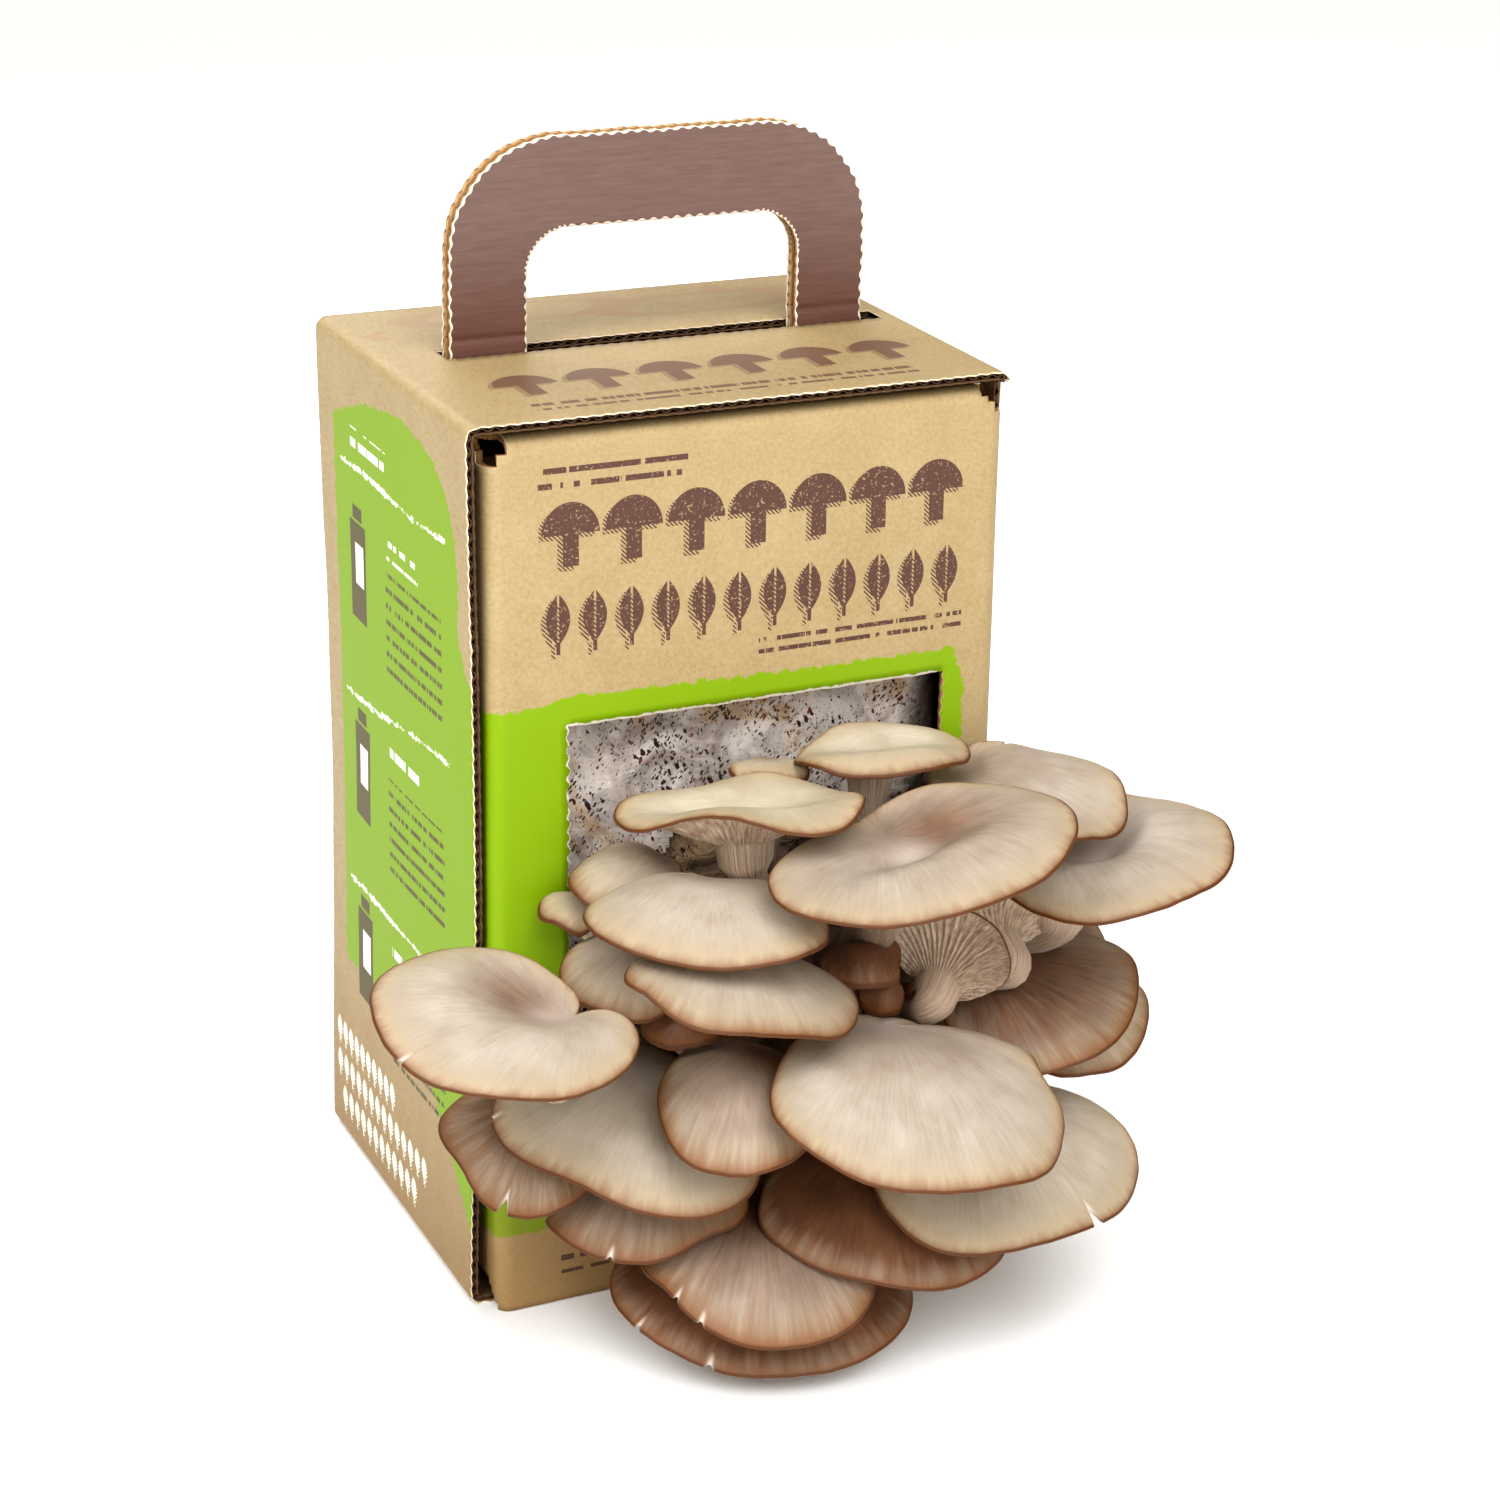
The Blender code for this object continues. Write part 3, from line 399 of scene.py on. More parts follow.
def sign_row(tree, kind, across, rise, first, last, count, level, size):
    """A row of pictograms between two places across, each with a hatched shadow down and to its left."""
    pitch, hatch_pitch = (last - first) / count, 1.1
    steps = node(tree, "Math", across, first, operation="SUBTRACT")[0]
    steps = node(tree, "Math", steps, pitch, operation="DIVIDE")[0]
    local = node(tree, "Math", steps, operation="FRACT")[0]
    u = node(tree, "Math", local, pitch / size, -0.5 * pitch / size, operation="MULTIPLY_ADD")[0]
    v = node(tree, "Math", rise, level, operation="SUBTRACT")[0]
    v = node(tree, "Math", v, size, operation="DIVIDE")[0]
    solid = pictogram(tree, kind, u, v)
    shadow_u = node(tree, "Math", u, 0.09, operation="ADD")[0]
    shadow_v = node(tree, "Math", v, 0.07, operation="ADD")[0]
    shadow = pictogram(tree, kind, shadow_u, shadow_v)
    slant = node(tree, "Math", across, rise, operation="ADD")[0]
    hatch = node(tree, "Math", slant, hatch_pitch, operation="DIVIDE")[0]
    hatch = node(tree, "Math", hatch, operation="FRACT")[0]
    hatch = node(tree, "Math", hatch, 0.5, operation="LESS_THAN")[0]
    shadow = node(tree, "Math", shadow, hatch, operation="MULTIPLY")[0]
    ink = node(tree, "Math", solid, shadow, operation="MAXIMUM")[0]
    in_row = node(tree, "Math", across, (first + last) / 2, (last - first) / 2, operation="COMPARE")[0]
    return node(tree, "Math", ink, in_row, operation="MULTIPLY")[0]


def small_print(tree, across, rise, middle, half, pitch, grain=1.4, weight=0.26):
    """Rows of broken dashes, as small print looks from afar.

    pitch is from row to row, and weight's share of it is inked above each row's middle and again below it. A
    noise along each row, unlike from row to row, leaves gaps the size of the spaces between words.
    """
    lines = node(tree, "Math", rise, pitch, operation="DIVIDE")[0]
    line = node(tree, "Math", lines, operation="FLOOR")[0]
    within = node(tree, "Math", lines, operation="FRACT")[0]
    inked = node(tree, "Math", within, 0.3, weight, operation="COMPARE")[0]
    stagger = node(tree, "Math", line, 7.3, operation="MULTIPLY")[0]
    spot = node(tree, "CombineXYZ", across, stagger)[0]
    word = node(tree, "TexNoise", Vector=spot, Scale=1 / grain, Detail=1.0)[0]
    word = node(tree, "Math", word, 0.44, operation="GREATER_THAN")[0]
    inked = node(tree, "Math", inked, word, operation="MULTIPLY")[0]
    block = bar(tree, across, rise, middle, half)
    return node(tree, "Math", inked, block, operation="MULTIPLY")[0]


def together(tree, *shares):
    """The greatest of several shares."""
    total = shares[0]
    for more in shares[1:]:
        total = node(tree, "Math", total, more, operation="MAXIMUM")[0]
    return total


# Kraft linerboard, calendered and printed: a tan ground with fibres and soft clouds, a faint sheen, and flat
# inks that break up at their edges. Towards the floor it is painted darker and browner, as shade.
GREEN_PRINT, FOOT_SHADE_KRAFT = "#80A202", "#8C6636"
printed_kraft, tree, shader = new_material("printed_kraft_liner", roughness=0.5, specular_ior_level=0.25)
place = place_in_mm(tree)
fibre = paper_fibres(tree, place)
ground = kraft_colour(tree, place, fibre)
x_axis, y_axis, z_axis = node(tree, "SeparateXYZ", place)
# Painted shade: the board darkens and browns over its lowest 75 mm.
foot_shade = node(tree, "MapRange", z_axis, 75.0, 0.0, 0.0, 0.5, interpolation_type="SMOOTHSTEP")[0]
from_middle = node(tree, "Math", x_axis, operation="ABSOLUTE")[0]
on_sides = node(tree, "Math", from_middle, HALF_WIDTH - 2.0, operation="GREATER_THAN")[0]
on_lid = node(tree, "Math", z_axis, HEIGHT - 0.6, operation="GREATER_THAN")[0]
side_white, side_brown = [], []
# Each of the side's three blocks has a white heading, rows of small print, and a plain carton with a label.
for block_top in (188.0, 133.0, 80.0):
    heading = small_print(tree, y_axis, z_axis, (-9.0, block_top - 4.0), (11.0, 2.6), pitch=5.6, grain=3.0)
    small_rows = small_print(
        tree, y_axis, z_axis, (-16.0, block_top - 24.0), (19.0, 14.0), pitch=4.2, grain=1.2, weight=0.16
    )
    carton = bar(tree, y_axis, z_axis, (24.0, block_top - 17.0), (6.0, 13.0))
    flap = bar(tree, y_axis, z_axis, (24.0, block_top - 1.5), (3.5, 1.8))
    label = bar(tree, y_axis, z_axis, (23.0, block_top - 15.0), (3.2, 5.5))
    side_white += [heading, label]
    side_brown += [small_rows, together(tree, carton, flap)]
side_white.append(small_print(tree, y_axis, z_axis, (15.0, 206.0), (13.0, 2.6), pitch=5.2, grain=3.0))
# Below them stand three rows of small white leaves.
for row_height, row_start, row_end in ((32.0, 2.0, 50.0), (22.0, -22.0, 50.0), (12.0, -14.0, 46.0)):
    count = round((row_end - row_start) / 5)
    side_white.append(sign_row(tree, "leaf", y_axis, z_axis, row_start, row_end, count, row_height, size=8.0))
side_brown = node(tree, "Math", together(tree, *side_brown), on_sides, operation="MULTIPLY")[0]
side_white = node(tree, "Math", together(tree, *side_white), on_sides, operation="MULTIPLY")[0]
# The lid's print is painted paler than the front's ink, as the sheen seen across the lid.
lid_signs = sign_row(
    tree, "mushroom", x_axis, y_axis, first=-54.0, last=60.0, count=6, level=-24.0, size=17.0
)
lid_lines = small_print(tree, x_axis, y_axis, (0.0, -42.0), (50.0, 3.4), pitch=4.2)
lid_ink_and_sheen = node(tree, "Math", together(tree, lid_signs, lid_lines), on_lid, operation="MULTIPLY")[0]
colour = painted(
    tree,
    ground,
    (foot_shade, FOOT_SHADE_KRAFT),
    (rough_edge(tree, place, "green"), GREEN_PRINT),
    (rough_edge(tree, place, "tan", 0.15), "#A88D6A"),
    (side_brown, "#59502A"),
    (lid_ink_and_sheen, "#775C49"),
    (together(tree, rough_edge(tree, place, "white", 0.8), side_white), "#EFEFE2"),
)
set_surface(tree, shader, colour, fibre)

# Torn linerboard shows its inner fibres: white fluff without any shine, a bright line along each edge.
torn_edge = plain_kraft("torn_white_fibre", 0.9, "#FBF4E6", "#C9A679")
# Inside the board the fluting paper is matt, and it is painted dark brown as the shade it lies in.
shade_dark_kraft = plain_kraft("kraft_painted_dark_as_shade", 0.9, "#6B4D30", "#3B2919")

# The sides' green field, as y and z, with its wavy front and the slope that it leaves bare at the foot.
side_green = [
    (41, 56), (41, 209), (16, 217), (-9.5, 220.5), (-30, 217), (-40, 210), (-45, 200), (-46.5, 190),
    (-45.5, 177), (-50, 168), (-58, 160), (-58, 14), (-49.5, 24.5), (-40, 35), (-29, 45), (-21, 54),
    (5, 58.5),
]
FAR_FROM_PRINT = -20.0
points, faces, way, back = sleeve_sheet(middle_depth=0.0, wave=0.0, per_flute=4, ragged=0.42, spacing=3.2)
x, y, z = np.moveaxis(sleeve_point(way, back, 0.0), -1, 0)
on_side = np.abs(np.abs(x) - HALF_WIDTH) < 2.6
green = np.where(on_side, outline_distance(side_green, y, z), FAR_FROM_PRINT)
# A torn white line runs across the side above each block: a wave on a slope, a millimetre wide.
strokes = np.full(x.shape, FAR_FROM_PRINT)
for stroke_z, sweep in ((198, 1.0), (139, -1.0), (83, 0.6)):
    line = stroke_z + sweep * 1.6 * np.sin(y / 17.0) - 0.05 * y
    past_its_ends = np.abs(y + 2) > 38
    stroke = 0.5 - np.abs(z - line) + 0.5 * waviness(y, y, 2.0, 0.4) - 2 * past_its_ends
    strokes = np.maximum(strokes, stroke)
# Faint tan ovals, as rings, lie behind the handle.
ovals = np.full(x.shape, FAR_FROM_PRINT)
for oval_x, oval_y, across, along in ((-22, 40, 33, 9), (26, 34, 30, 10), (50, 47, 16, 5), (-52, 29, 14, 6)):
    reach = np.hypot((x - oval_x) / across, (y - oval_y) / along)
    ovals = np.maximum(ovals, (0.16 - np.abs(reach - 0.9)) * along)
fields = {
    "green": green.ravel(),
    "white": np.where(on_side, strokes, FAR_FROM_PRINT).ravel(),
    "tan": np.where(z > HEIGHT - 2, ovals, FAR_FROM_PRINT).ravel(),
}
sleeve_papers = (printed_kraft, torn_edge)
sleeve = new_mesh("sleeve_outer_paper", points.reshape(-1, 3), faces, materials=sleeve_papers, fields=fields)
thicken(sleeve, PAPER, edge_slot=1)
# The inner paper is painted dark brown, as shade, like the flutes.
points, faces = sleeve_sheet(BOARD - PAPER, wave=0.0, per_flute=4, ragged=0.3, spacing=11.0)[:2]
inner_paper = new_mesh("sleeve_inner_paper", points.reshape(-1, 3), faces, materials=[shade_dark_kraft])
thicken(inner_paper, PAPER)
points, faces = sleeve_sheet(BOARD / 2 - 0.12, wave=0.48, per_flute=8, ragged=0.0, spacing=11.0)[:2]
# The flutes end a paper's thickness inside the board's raw edges.
points[0, :, 1] += PAPER
points[-1, :, 1] -= PAPER
flutes = new_mesh("sleeve_flutes", points.reshape(-1, 3), faces, materials=[shade_dark_kraft])
thicken(flutes, 0.2)
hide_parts("box_sleeve")
for piece in (sleeve, inner_paper, flutes):
    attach(piece, "root")


# Closures: the front and back of the carton, each folded from 2 mm board with returns at its sides and top.
# The front one leans out at its foot and has the window, torn out along a line of nicks.
CLOSURE_TOP = 226.0
FOLD = 4.0
RETURN = 15.0
NOTCH = 7.0
LEAN = math.radians(2.0)
HINGE_Y, HINGE_Z = -52.0, 226.3
BACK_FACE = 52.5
WINDOW = (-46.0, 55.5, 42.0, 154.0)
# The back closure has no window, so its torn edge is worked out from one far off the board.
FAR_OFF = (500.0, 501.0, 0.0, 1.0)


def folded(flat, low, high):
    """Bends a flat distance round folds at low and high: returns the place along, how far back, and the turn.

    Inside the folds the sheet is straight. Past a fold's start it follows a circle of the fold's radius for
    90 degrees, and then runs straight back.
    """
    past = np.maximum(low + FOLD - flat, 0) + np.maximum(flat - (high - FOLD), 0)
    side = np.where(flat > (low + high) / 2, 1.0, -1.0)
    turn = np.minimum(past / FOLD, math.pi / 2)
    straight = np.maximum(past - FOLD * math.pi / 2, 0)
    along = np.clip(flat, low + FOLD, high - FOLD) + side * FOLD * np.sin(turn)
    return along, FOLD * (1 - np.cos(turn)) + straight, side * turn


def closure_sheet(left, right, low, depth, window, ragged, pitch):
    """One paper of a closure, flat and then folded; depth is into the board from its outer face.

    Its grid is finer at the folds. Squares in the window, in the round corner notches and outside the
    returns are left out, and the window's edge is torn to a zigzag. It has no fold at its foot.
    """
    reach = FOLD * (math.pi / 2 - 1) + RETURN
    edge = np.linspace(0, FOLD + reach, round(44 / pitch))
    face = np.arange(left + FOLD + pitch, right - FOLD - 1, pitch)
    across = np.concatenate([left - reach + edge, face, right + reach - edge[::-1]])
    face = np.arange(low, CLOSURE_TOP - FOLD - 1, pitch)
    rise = np.concatenate([face, CLOSURE_TOP + reach - edge[::-1]])
    if window:
        for value, axis in zip(window, (across, across, rise, rise)):
            axis[np.argmin(np.abs(axis - value))] = value
    flat_up, flat_across = np.meshgrid(rise, across, indexing="ij")
    mid_across = (across[1:] + across[:-1])[None, :] / 2
    mid_up = (rise[1:] + rise[:-1])[:, None] / 2
    keep = np.ones((len(rise) - 1, len(across) - 1), bool)
    for corner_x, sign in ((left, -1), (right, 1)):
        past_corner = sign * (mid_across - corner_x)
        gone = np.hypot(mid_across - corner_x - sign * 0.5, mid_up - CLOSURE_TOP - 0.5) < NOTCH
        gone |= (past_corner > -FOLD * 0.4) & (mid_up > CLOSURE_TOP - FOLD * 0.4)
        on_return = np.maximum(past_corner + 1.0, 0)
        gone |= mid_up < low + np.clip(on_return * 0.9, 0, 7) * (on_return > 1.5)
        keep &= ~gone
    if window:
        start_x, end_x, start_z, end_z = window
        keep &= ~((mid_across > start_x) & (mid_across < end_x) & (mid_up > start_z) & (mid_up < end_z))
        for value, sign in ((start_x, 1), (end_x, -1)):
            line = (np.abs(flat_across - value) < 0.01) & (flat_up > start_z - 2) & (flat_up < end_z + 1)
            wave = zigzag(flat_up) + waviness(flat_up, 0, 1.0, 0.4)
            flat_across += np.where(line, sign * ragged * wave, 0)
        for value, sign in ((start_z, 1), (end_z, -1)):
            line = (np.abs(flat_up - value) < 0.01) & (flat_across > start_x - 1) & (flat_across < end_x + 1)
            wave = zigzag(flat_across) + waviness(flat_across, 5, 1.0, 0.4)
            flat_up += np.where(line, sign * ragged * wave, 0)
    no_fold = -1000.0
    x, back_x, turn_x = folded(flat_across, left, right)
    z, back_z, turn_z = folded(flat_up, no_fold, CLOSURE_TOP)
    slack = 0.22 * waviness(flat_across, flat_up, 5.0, 3.2)
    x = x - depth * np.sin(turn_x) * np.cos(turn_z)
    y = back_x + back_z + depth * np.cos(turn_x) * np.cos(turn_z) + slack
    z = z - depth * np.sin(turn_z) * np.cos(turn_x)
    return np.stack([x, y, z], -1), keep, flat_across, flat_up


def stand_front(points):
    """Tips the front closure forward about its top edge, and sets it at the carton's front."""
    y, z = points[..., 1], points[..., 2] - CLOSURE_TOP
    turned_y = y * math.cos(LEAN) + z * math.sin(LEAN)
    turned_z = z * math.cos(LEAN) - y * math.sin(LEAN)
    return np.stack([points[..., 0], turned_y + HINGE_Y, turned_z + HINGE_Z], -1)


def stand_back(points):
    """Turns a closure round to face the rear, just inside the sleeve's back edge."""
    return np.stack([-points[..., 0], BACK_FACE - points[..., 1], points[..., 2]], -1)


def closure(name, node_name, left, right, low, stand, window, green_outline):
    """A closure's printed outer paper, and the fluted core and inner paper behind it as one bare sheet."""
    pitch = 1.7 if window else 2.6
    points, keep, flat_across, flat_up = closure_sheet(left, right, low, 0.0, window, 0.36, pitch)
    low_x, high_x, low_z, high_z = window or FAR_OFF
    outside_x = np.maximum(low_x - flat_across, flat_across - high_x)
    outside_z = np.maximum(low_z - flat_up, flat_up - high_z)
    # White fibre shows within 0.6 mm of the window's edge, but not down its right side, which was cut clean.
    from_tear = np.where(flat_across > high_x - 1, 9.0, np.abs(np.maximum(outside_x, outside_z)))
    fields = {
        "green": outline_distance(green_outline, flat_across, flat_up).ravel(),
        "flat": np.stack([flat_across, 0 * flat_up, flat_up], -1).reshape(-1, 3),
        "torn": (0.6 - from_tear).ravel(),
    }
    faces = grid_faces(*flat_up.shape, keep)
    outer_papers = (front_print, torn_edge)
    outer = new_mesh(name, stand(points).reshape(-1, 3), faces, materials=outer_papers, fields=fields)
    thicken(outer, PAPER, edge_slot=1)
    points, keep, flat_across, flat_up = closure_sheet(left, right, low, PAPER + 0.05, window, 0.1, pitch)
    faces = grid_faces(*flat_up.shape, keep)
    core = new_mesh(name + "_core", stand(points).reshape(-1, 3), faces, materials=[raw_kraft])
    thicken(core, BOARD - PAPER - 0.1)
    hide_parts(node_name)
    for piece in (outer, core):
        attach(piece, "root")


# The closures' linerboard is printed like the sleeve's: satin tan paper with flat inks. The dark ink is worn
# away in grains of 0.6 mm where the paper's fibres stand up, and the foot is painted darker, as shade.
front_print, tree, shader = new_material("printed_kraft_closure", roughness=0.48, specular_ior_level=0.25)
place = place_in_mm(tree)
fibre = paper_fibres(tree, place)
green_part = rough_edge(tree, place, "green")
flat = node(tree, "Attribute", attribute_name="flat")["Vector"]
flat = node(tree, "SeparateXYZ", flat)
# Painted shade: the lowest 60 mm of the flat board darken, the green with them.
foot_shade = node(tree, "MapRange", flat[2], 60.0, 5.0, 0.0, 0.6, interpolation_type="SMOOTHSTEP")[0]
foot_shade_green = node(tree, "Math", foot_shade, green_part, operation="MULTIPLY")[0]
ink = together(
    tree,
    sign_row(tree, "mushroom", flat[0], flat[2], first=-53.0, last=60.0, count=7, level=201.5, size=15.5),
    sign_row(tree, "leaf", flat[0], flat[2], first=-53.0, last=60.0, count=12, level=181.0, size=14.5),
    small_print(tree, flat[0], flat[2], (-34.0, 215.0), (19.0, 3.5), pitch=3.6, grain=2.4, weight=0.2),
    small_print(tree, flat[0], flat[2], (32.0, 167.5), (28.0, 2.6), pitch=2.9, grain=1.8, weight=0.2),
    small_print(tree, flat[0], flat[2], (-35.0, 10.0), (14.0, 2.6), pitch=5.4, grain=2.4),
)
grain = node(tree, "TexNoise", Vector=place, Scale=1.6, Detail=4.0)[0]
grain = node(tree, "MapRange", grain, 0.28, 0.42)[0]
ink = node(tree, "Math", ink, grain, operation="MULTIPLY")[0]
colour = painted(
    tree,
    kraft_colour(tree, place, fibre),
    (green_part, GREEN_PRINT),
    (foot_shade, FOOT_SHADE_KRAFT),
    (foot_shade_green, "#6E8A00"),
    (ink, "#5A3E35"),
    (rough_edge(tree, place, "torn", 0.3), "#F7F1E4"),
)
set_surface(tree, shader, colour, fibre)

# Kraft paper without print, as it comes from the mill: matt, and a warmer brown than the calendered liner.
raw_kraft = plain_kraft("bare_kraft_paper", 0.85, "#B98E58", "#8A6238")

# The green fields, as x and z on the flat board.
front_green = [
    (-75, 20.5), (-75, 159.5), (-52, 160), (-46, 161.5), (0, 160.5), (30, 160), (58, 160), (61.5, 150),
    (60, 110), (58, 60), (61, 24), (20, 20), (-20, 22),
]
back_green = [(-60, 20), (-59, 98), (-20, 100), (24, 98), (61, 99), (60, 22), (20, 19), (-20, 21)]
closure("front_closure", "front_panel", -66.0, 70.6, 0.0, stand_front, WINDOW, front_green)
closure("back_closure", "back_panel", -67.0, 66.0, 2.6, stand_back, None, back_green)


# Handle: two layers of the same board, one behind the other, standing in the lid's slot.
# Their outer faces are printed dark brown; the edges are cut by a line of nicks and show bare kraft flutes.
# The shares of the handle's length at which its legs, bends and top bar start and end.
HANDLE_KNOTS = [0.0, 0.16, 0.37, 0.64, 0.85, 1.0]
HANDLE_FOOT = 222
LAYER = 1.8


def handle_edges(along):
    """The handle's outer and inner outlines for a share along it, from the left foot over to the right foot.

    On each, an arc's centre runs up, waits while the direction turns by 90 degrees, runs across, and so on.
    """
    outlines = []
    for radius, left, right, arc_z in ((28.0, -25, 31, 254.5), (11.0, -22, 29.5, 249)):
        heading = np.radians(np.interp(along, HANDLE_KNOTS, [180, 180, 90, 90, 0, 0]))
        out = np.stack([np.cos(heading), np.sin(heading)], -1)
        centre_x = np.interp(along, HANDLE_KNOTS, [left, left, left, right, right, right])
        centre_z = np.interp(along, HANDLE_KNOTS, [HANDLE_FOOT, arc_z, arc_z, arc_z, arc_z, HANDLE_FOOT])
        outlines.append((np.stack([centre_x, centre_z], -1) + radius * out, out))
    return outlines


def handle_paper(front_y, ragged, inset, backwards):
    """One paper of the handle: a strip between its two outlines, with a zigzag along each.

    Its uv is the length along the outer edge, and 0 to 20 from that edge to the inner one.
    """
    (outer, outer_way), (inner, inner_way) = handle_edges(np.linspace(0, 1, 481))
    outer_length, inner_length = (
        np.append(0, np.cumsum(np.linalg.norm(np.diff(edge, axis=0), axis=1))) for edge in (outer, inner)
    )
    outer_wave = ragged * (zigzag(outer_length) + 0.8 * waviness(outer_length, 0, 2.0, 0.4)) - inset
    inner_wave = 0.4 * ragged * (zigzag(inner_length) + 0.8 * waviness(inner_length, 9, 2.0, 0.4)) - inset
    outer = outer + outer_way * outer_wave[:, None]
    inner = inner - inner_way * inner_wave[:, None]
    share = np.array([0.0, 0.03, 0.1, 0.3, 0.5, 0.7, 0.9, 0.97, 1.0])
    flat = outer[:, None, :] * (1 - share)[None, :, None] + inner[:, None, :] * share[None, :, None]
    x, z = flat[..., 0], flat[..., 1]
    # The crease where the handle folds up stands out 4 mm above the lid, and the board below it is set back.
    crease_z = HEIGHT + 4
    crease = 0.35 * np.exp(-(((z - crease_z) / 0.7) ** 2)) - 0.3 * np.clip((crease_z - 0.5 - z) / 4, 0, 1)
    slack = 0.15 * waviness(x, z, 4.0, 2.5)
    points = np.stack([x, front_y + 0 * x + slack + crease, z], -1)
    faces = grid_faces(*x.shape)
    if backwards:
        faces = faces[:, ::-1]
    uv = np.stack([np.broadcast_to(outer_length[:, None], x.shape), 20 * share[None, :] + 0 * x], -1)
    return points.reshape(-1, 3), faces, uv.reshape(-1, 2)


# Linerboard with a solid of dark brown ink: a soft sheen, and streaks 8 mm long left by the press. Along the
# cut the ink has flaked from a scalloped line half a millimetre wide, one scallop to a flute.
brown_print, tree, shader = new_material("dark_printed_liner", roughness=0.42, specular_ior_level=0.35)
place = place_in_mm(tree)
streaks = node(tree, "VectorMath", place, (0.12, 1.0, 1.4), operation="MULTIPLY")[0]
streaks = node(tree, "TexNoise", Vector=streaks, Scale=1.0, Detail=6.0, Roughness=0.65)[0]
# Painted light: the ink is paler and greyer towards the top of the handle.
level = node(tree, "SeparateXYZ", place)[2]
level = node(tree, "MapRange", level, 228.0, 262.0)[0]
share = node(tree, "MapRange", streaks, 0.3, 0.75)[0]
deep = painted(tree, "#5C392F", (level, "#695149"))
pale = painted(tree, "#68453A", (level, "#79615A"))
uv = node(tree, "SeparateXYZ", node(tree, "UVMap", uv_map="UVMap")[0])
from_edge = node(tree, "Math", uv[1], 10.0, operation="SUBTRACT")[0]
from_edge = node(tree, "Math", from_edge, operation="ABSOLUTE")[0]
scallop = node(tree, "Math", uv[0], 2 * math.pi / FLUTE_PITCH, operation="MULTIPLY")[0]
scallop = node(tree, "Math", scallop, operation="SINE")[0]
scallop = node(tree, "Math", scallop, 0.22, 9.62, operation="MULTIPLY_ADD")[0]
edge = node(tree, "Math", from_edge, scallop, operation="GREATER_THAN")[0]
colour = painted(tree, deep, (share, pale), (edge, "#E9DCCB"))
set_surface(tree, shader, colour, paper_fibres(tree, place), 0.3)

# The cut edge of fluted board: matt, pale at the flutes' crests, with painted shade for each hollow.
cut_flutes, tree, shader = new_material("cut_kraft_flutes", roughness=0.85)
place = place_in_mm(tree)
crests = kraft_colour(tree, place, paper_fibres(tree, place), "#CFB48C", "#A07F57")
along_edge = node(tree, "SeparateXYZ", node(tree, "UVMap", uv_map="UVMap")[0])[0]
ridge = node(tree, "Math", along_edge, 2 * math.pi / FLUTE_PITCH, operation="MULTIPLY")[0]
ridge = node(tree, "Math", ridge, operation="SINE")[0]
# Painted shade: dark between the crests.
hollow = node(tree, "MapRange", ridge, 0.1, 0.9, 0.0, 0.6)[0]
set_surface(tree, shader, painted(tree, crests, (hollow, "#5A361E")))

# behind is 1 where the board lies behind its printed face, and -1 where it lies in front of it.
for node_name, printed_y, behind, flap_y in (("handle_front", 4.5, 1, 4.6), ("handle_back", 10.1, -1, 8.4)):
    points, faces, uv = handle_paper(printed_y, 0.26, 0.0, behind < 0)
    printed = new_mesh(node_name + "_print", points, faces, materials=(brown_print, torn_edge), uv=uv)
    thicken(printed, PAPER, edge_slot=1)
    points, faces, uv = handle_paper(printed_y + behind * (PAPER + 0.02), 0.22, 0.25, behind < 0)
    body = new_mesh(node_name + "_flutes", points, faces, materials=(raw_kraft, cut_flutes), uv=uv)
    thicken(body, LAYER - PAPER - 0.04, edge_slot=1)
    # Under the lid the layer widens to the flap that holds it.
    flap_x, flap_z = [-62.0, -40.0, 0.0, 40.0, 67.0], [204.0, 213.0, 222.3]
    grid_z, grid_x = np.meshgrid(flap_z, flap_x, indexing="ij")
    points = np.stack([grid_x, np.full(grid_x.shape, flap_y), grid_z], -1)
    flap = new_mesh(node_name + "_flap", points.reshape(-1, 3), grid_faces(3, 5), materials=[raw_kraft])
    thicken(flap, 1.6)
    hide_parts(node_name)
    for piece in (printed, body, flap):
        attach(piece, "root")


# Bag: clear film drawn tight over a block of growing medium, white with mycelium and flecked with husk.
# The film clings to the block, so its surface is the medium seen through gloss, with folds and creases.
BAG_LEFT, BAG_RIGHT, BAG_FRONT, BAG_BACK, BAG_LOW, BAG_HIGH = -61.0, 62.0, -47.0, 41.0, 2.4, 174.0
BAG_CORNER = 9.0
FILM_CUT = [
    (-27, 50), (-25, 97), (-15, 117), (8, 120), (30, 112), (46, 108), (50, 98), (50, 50), (10, 45), (-14, 46),
]


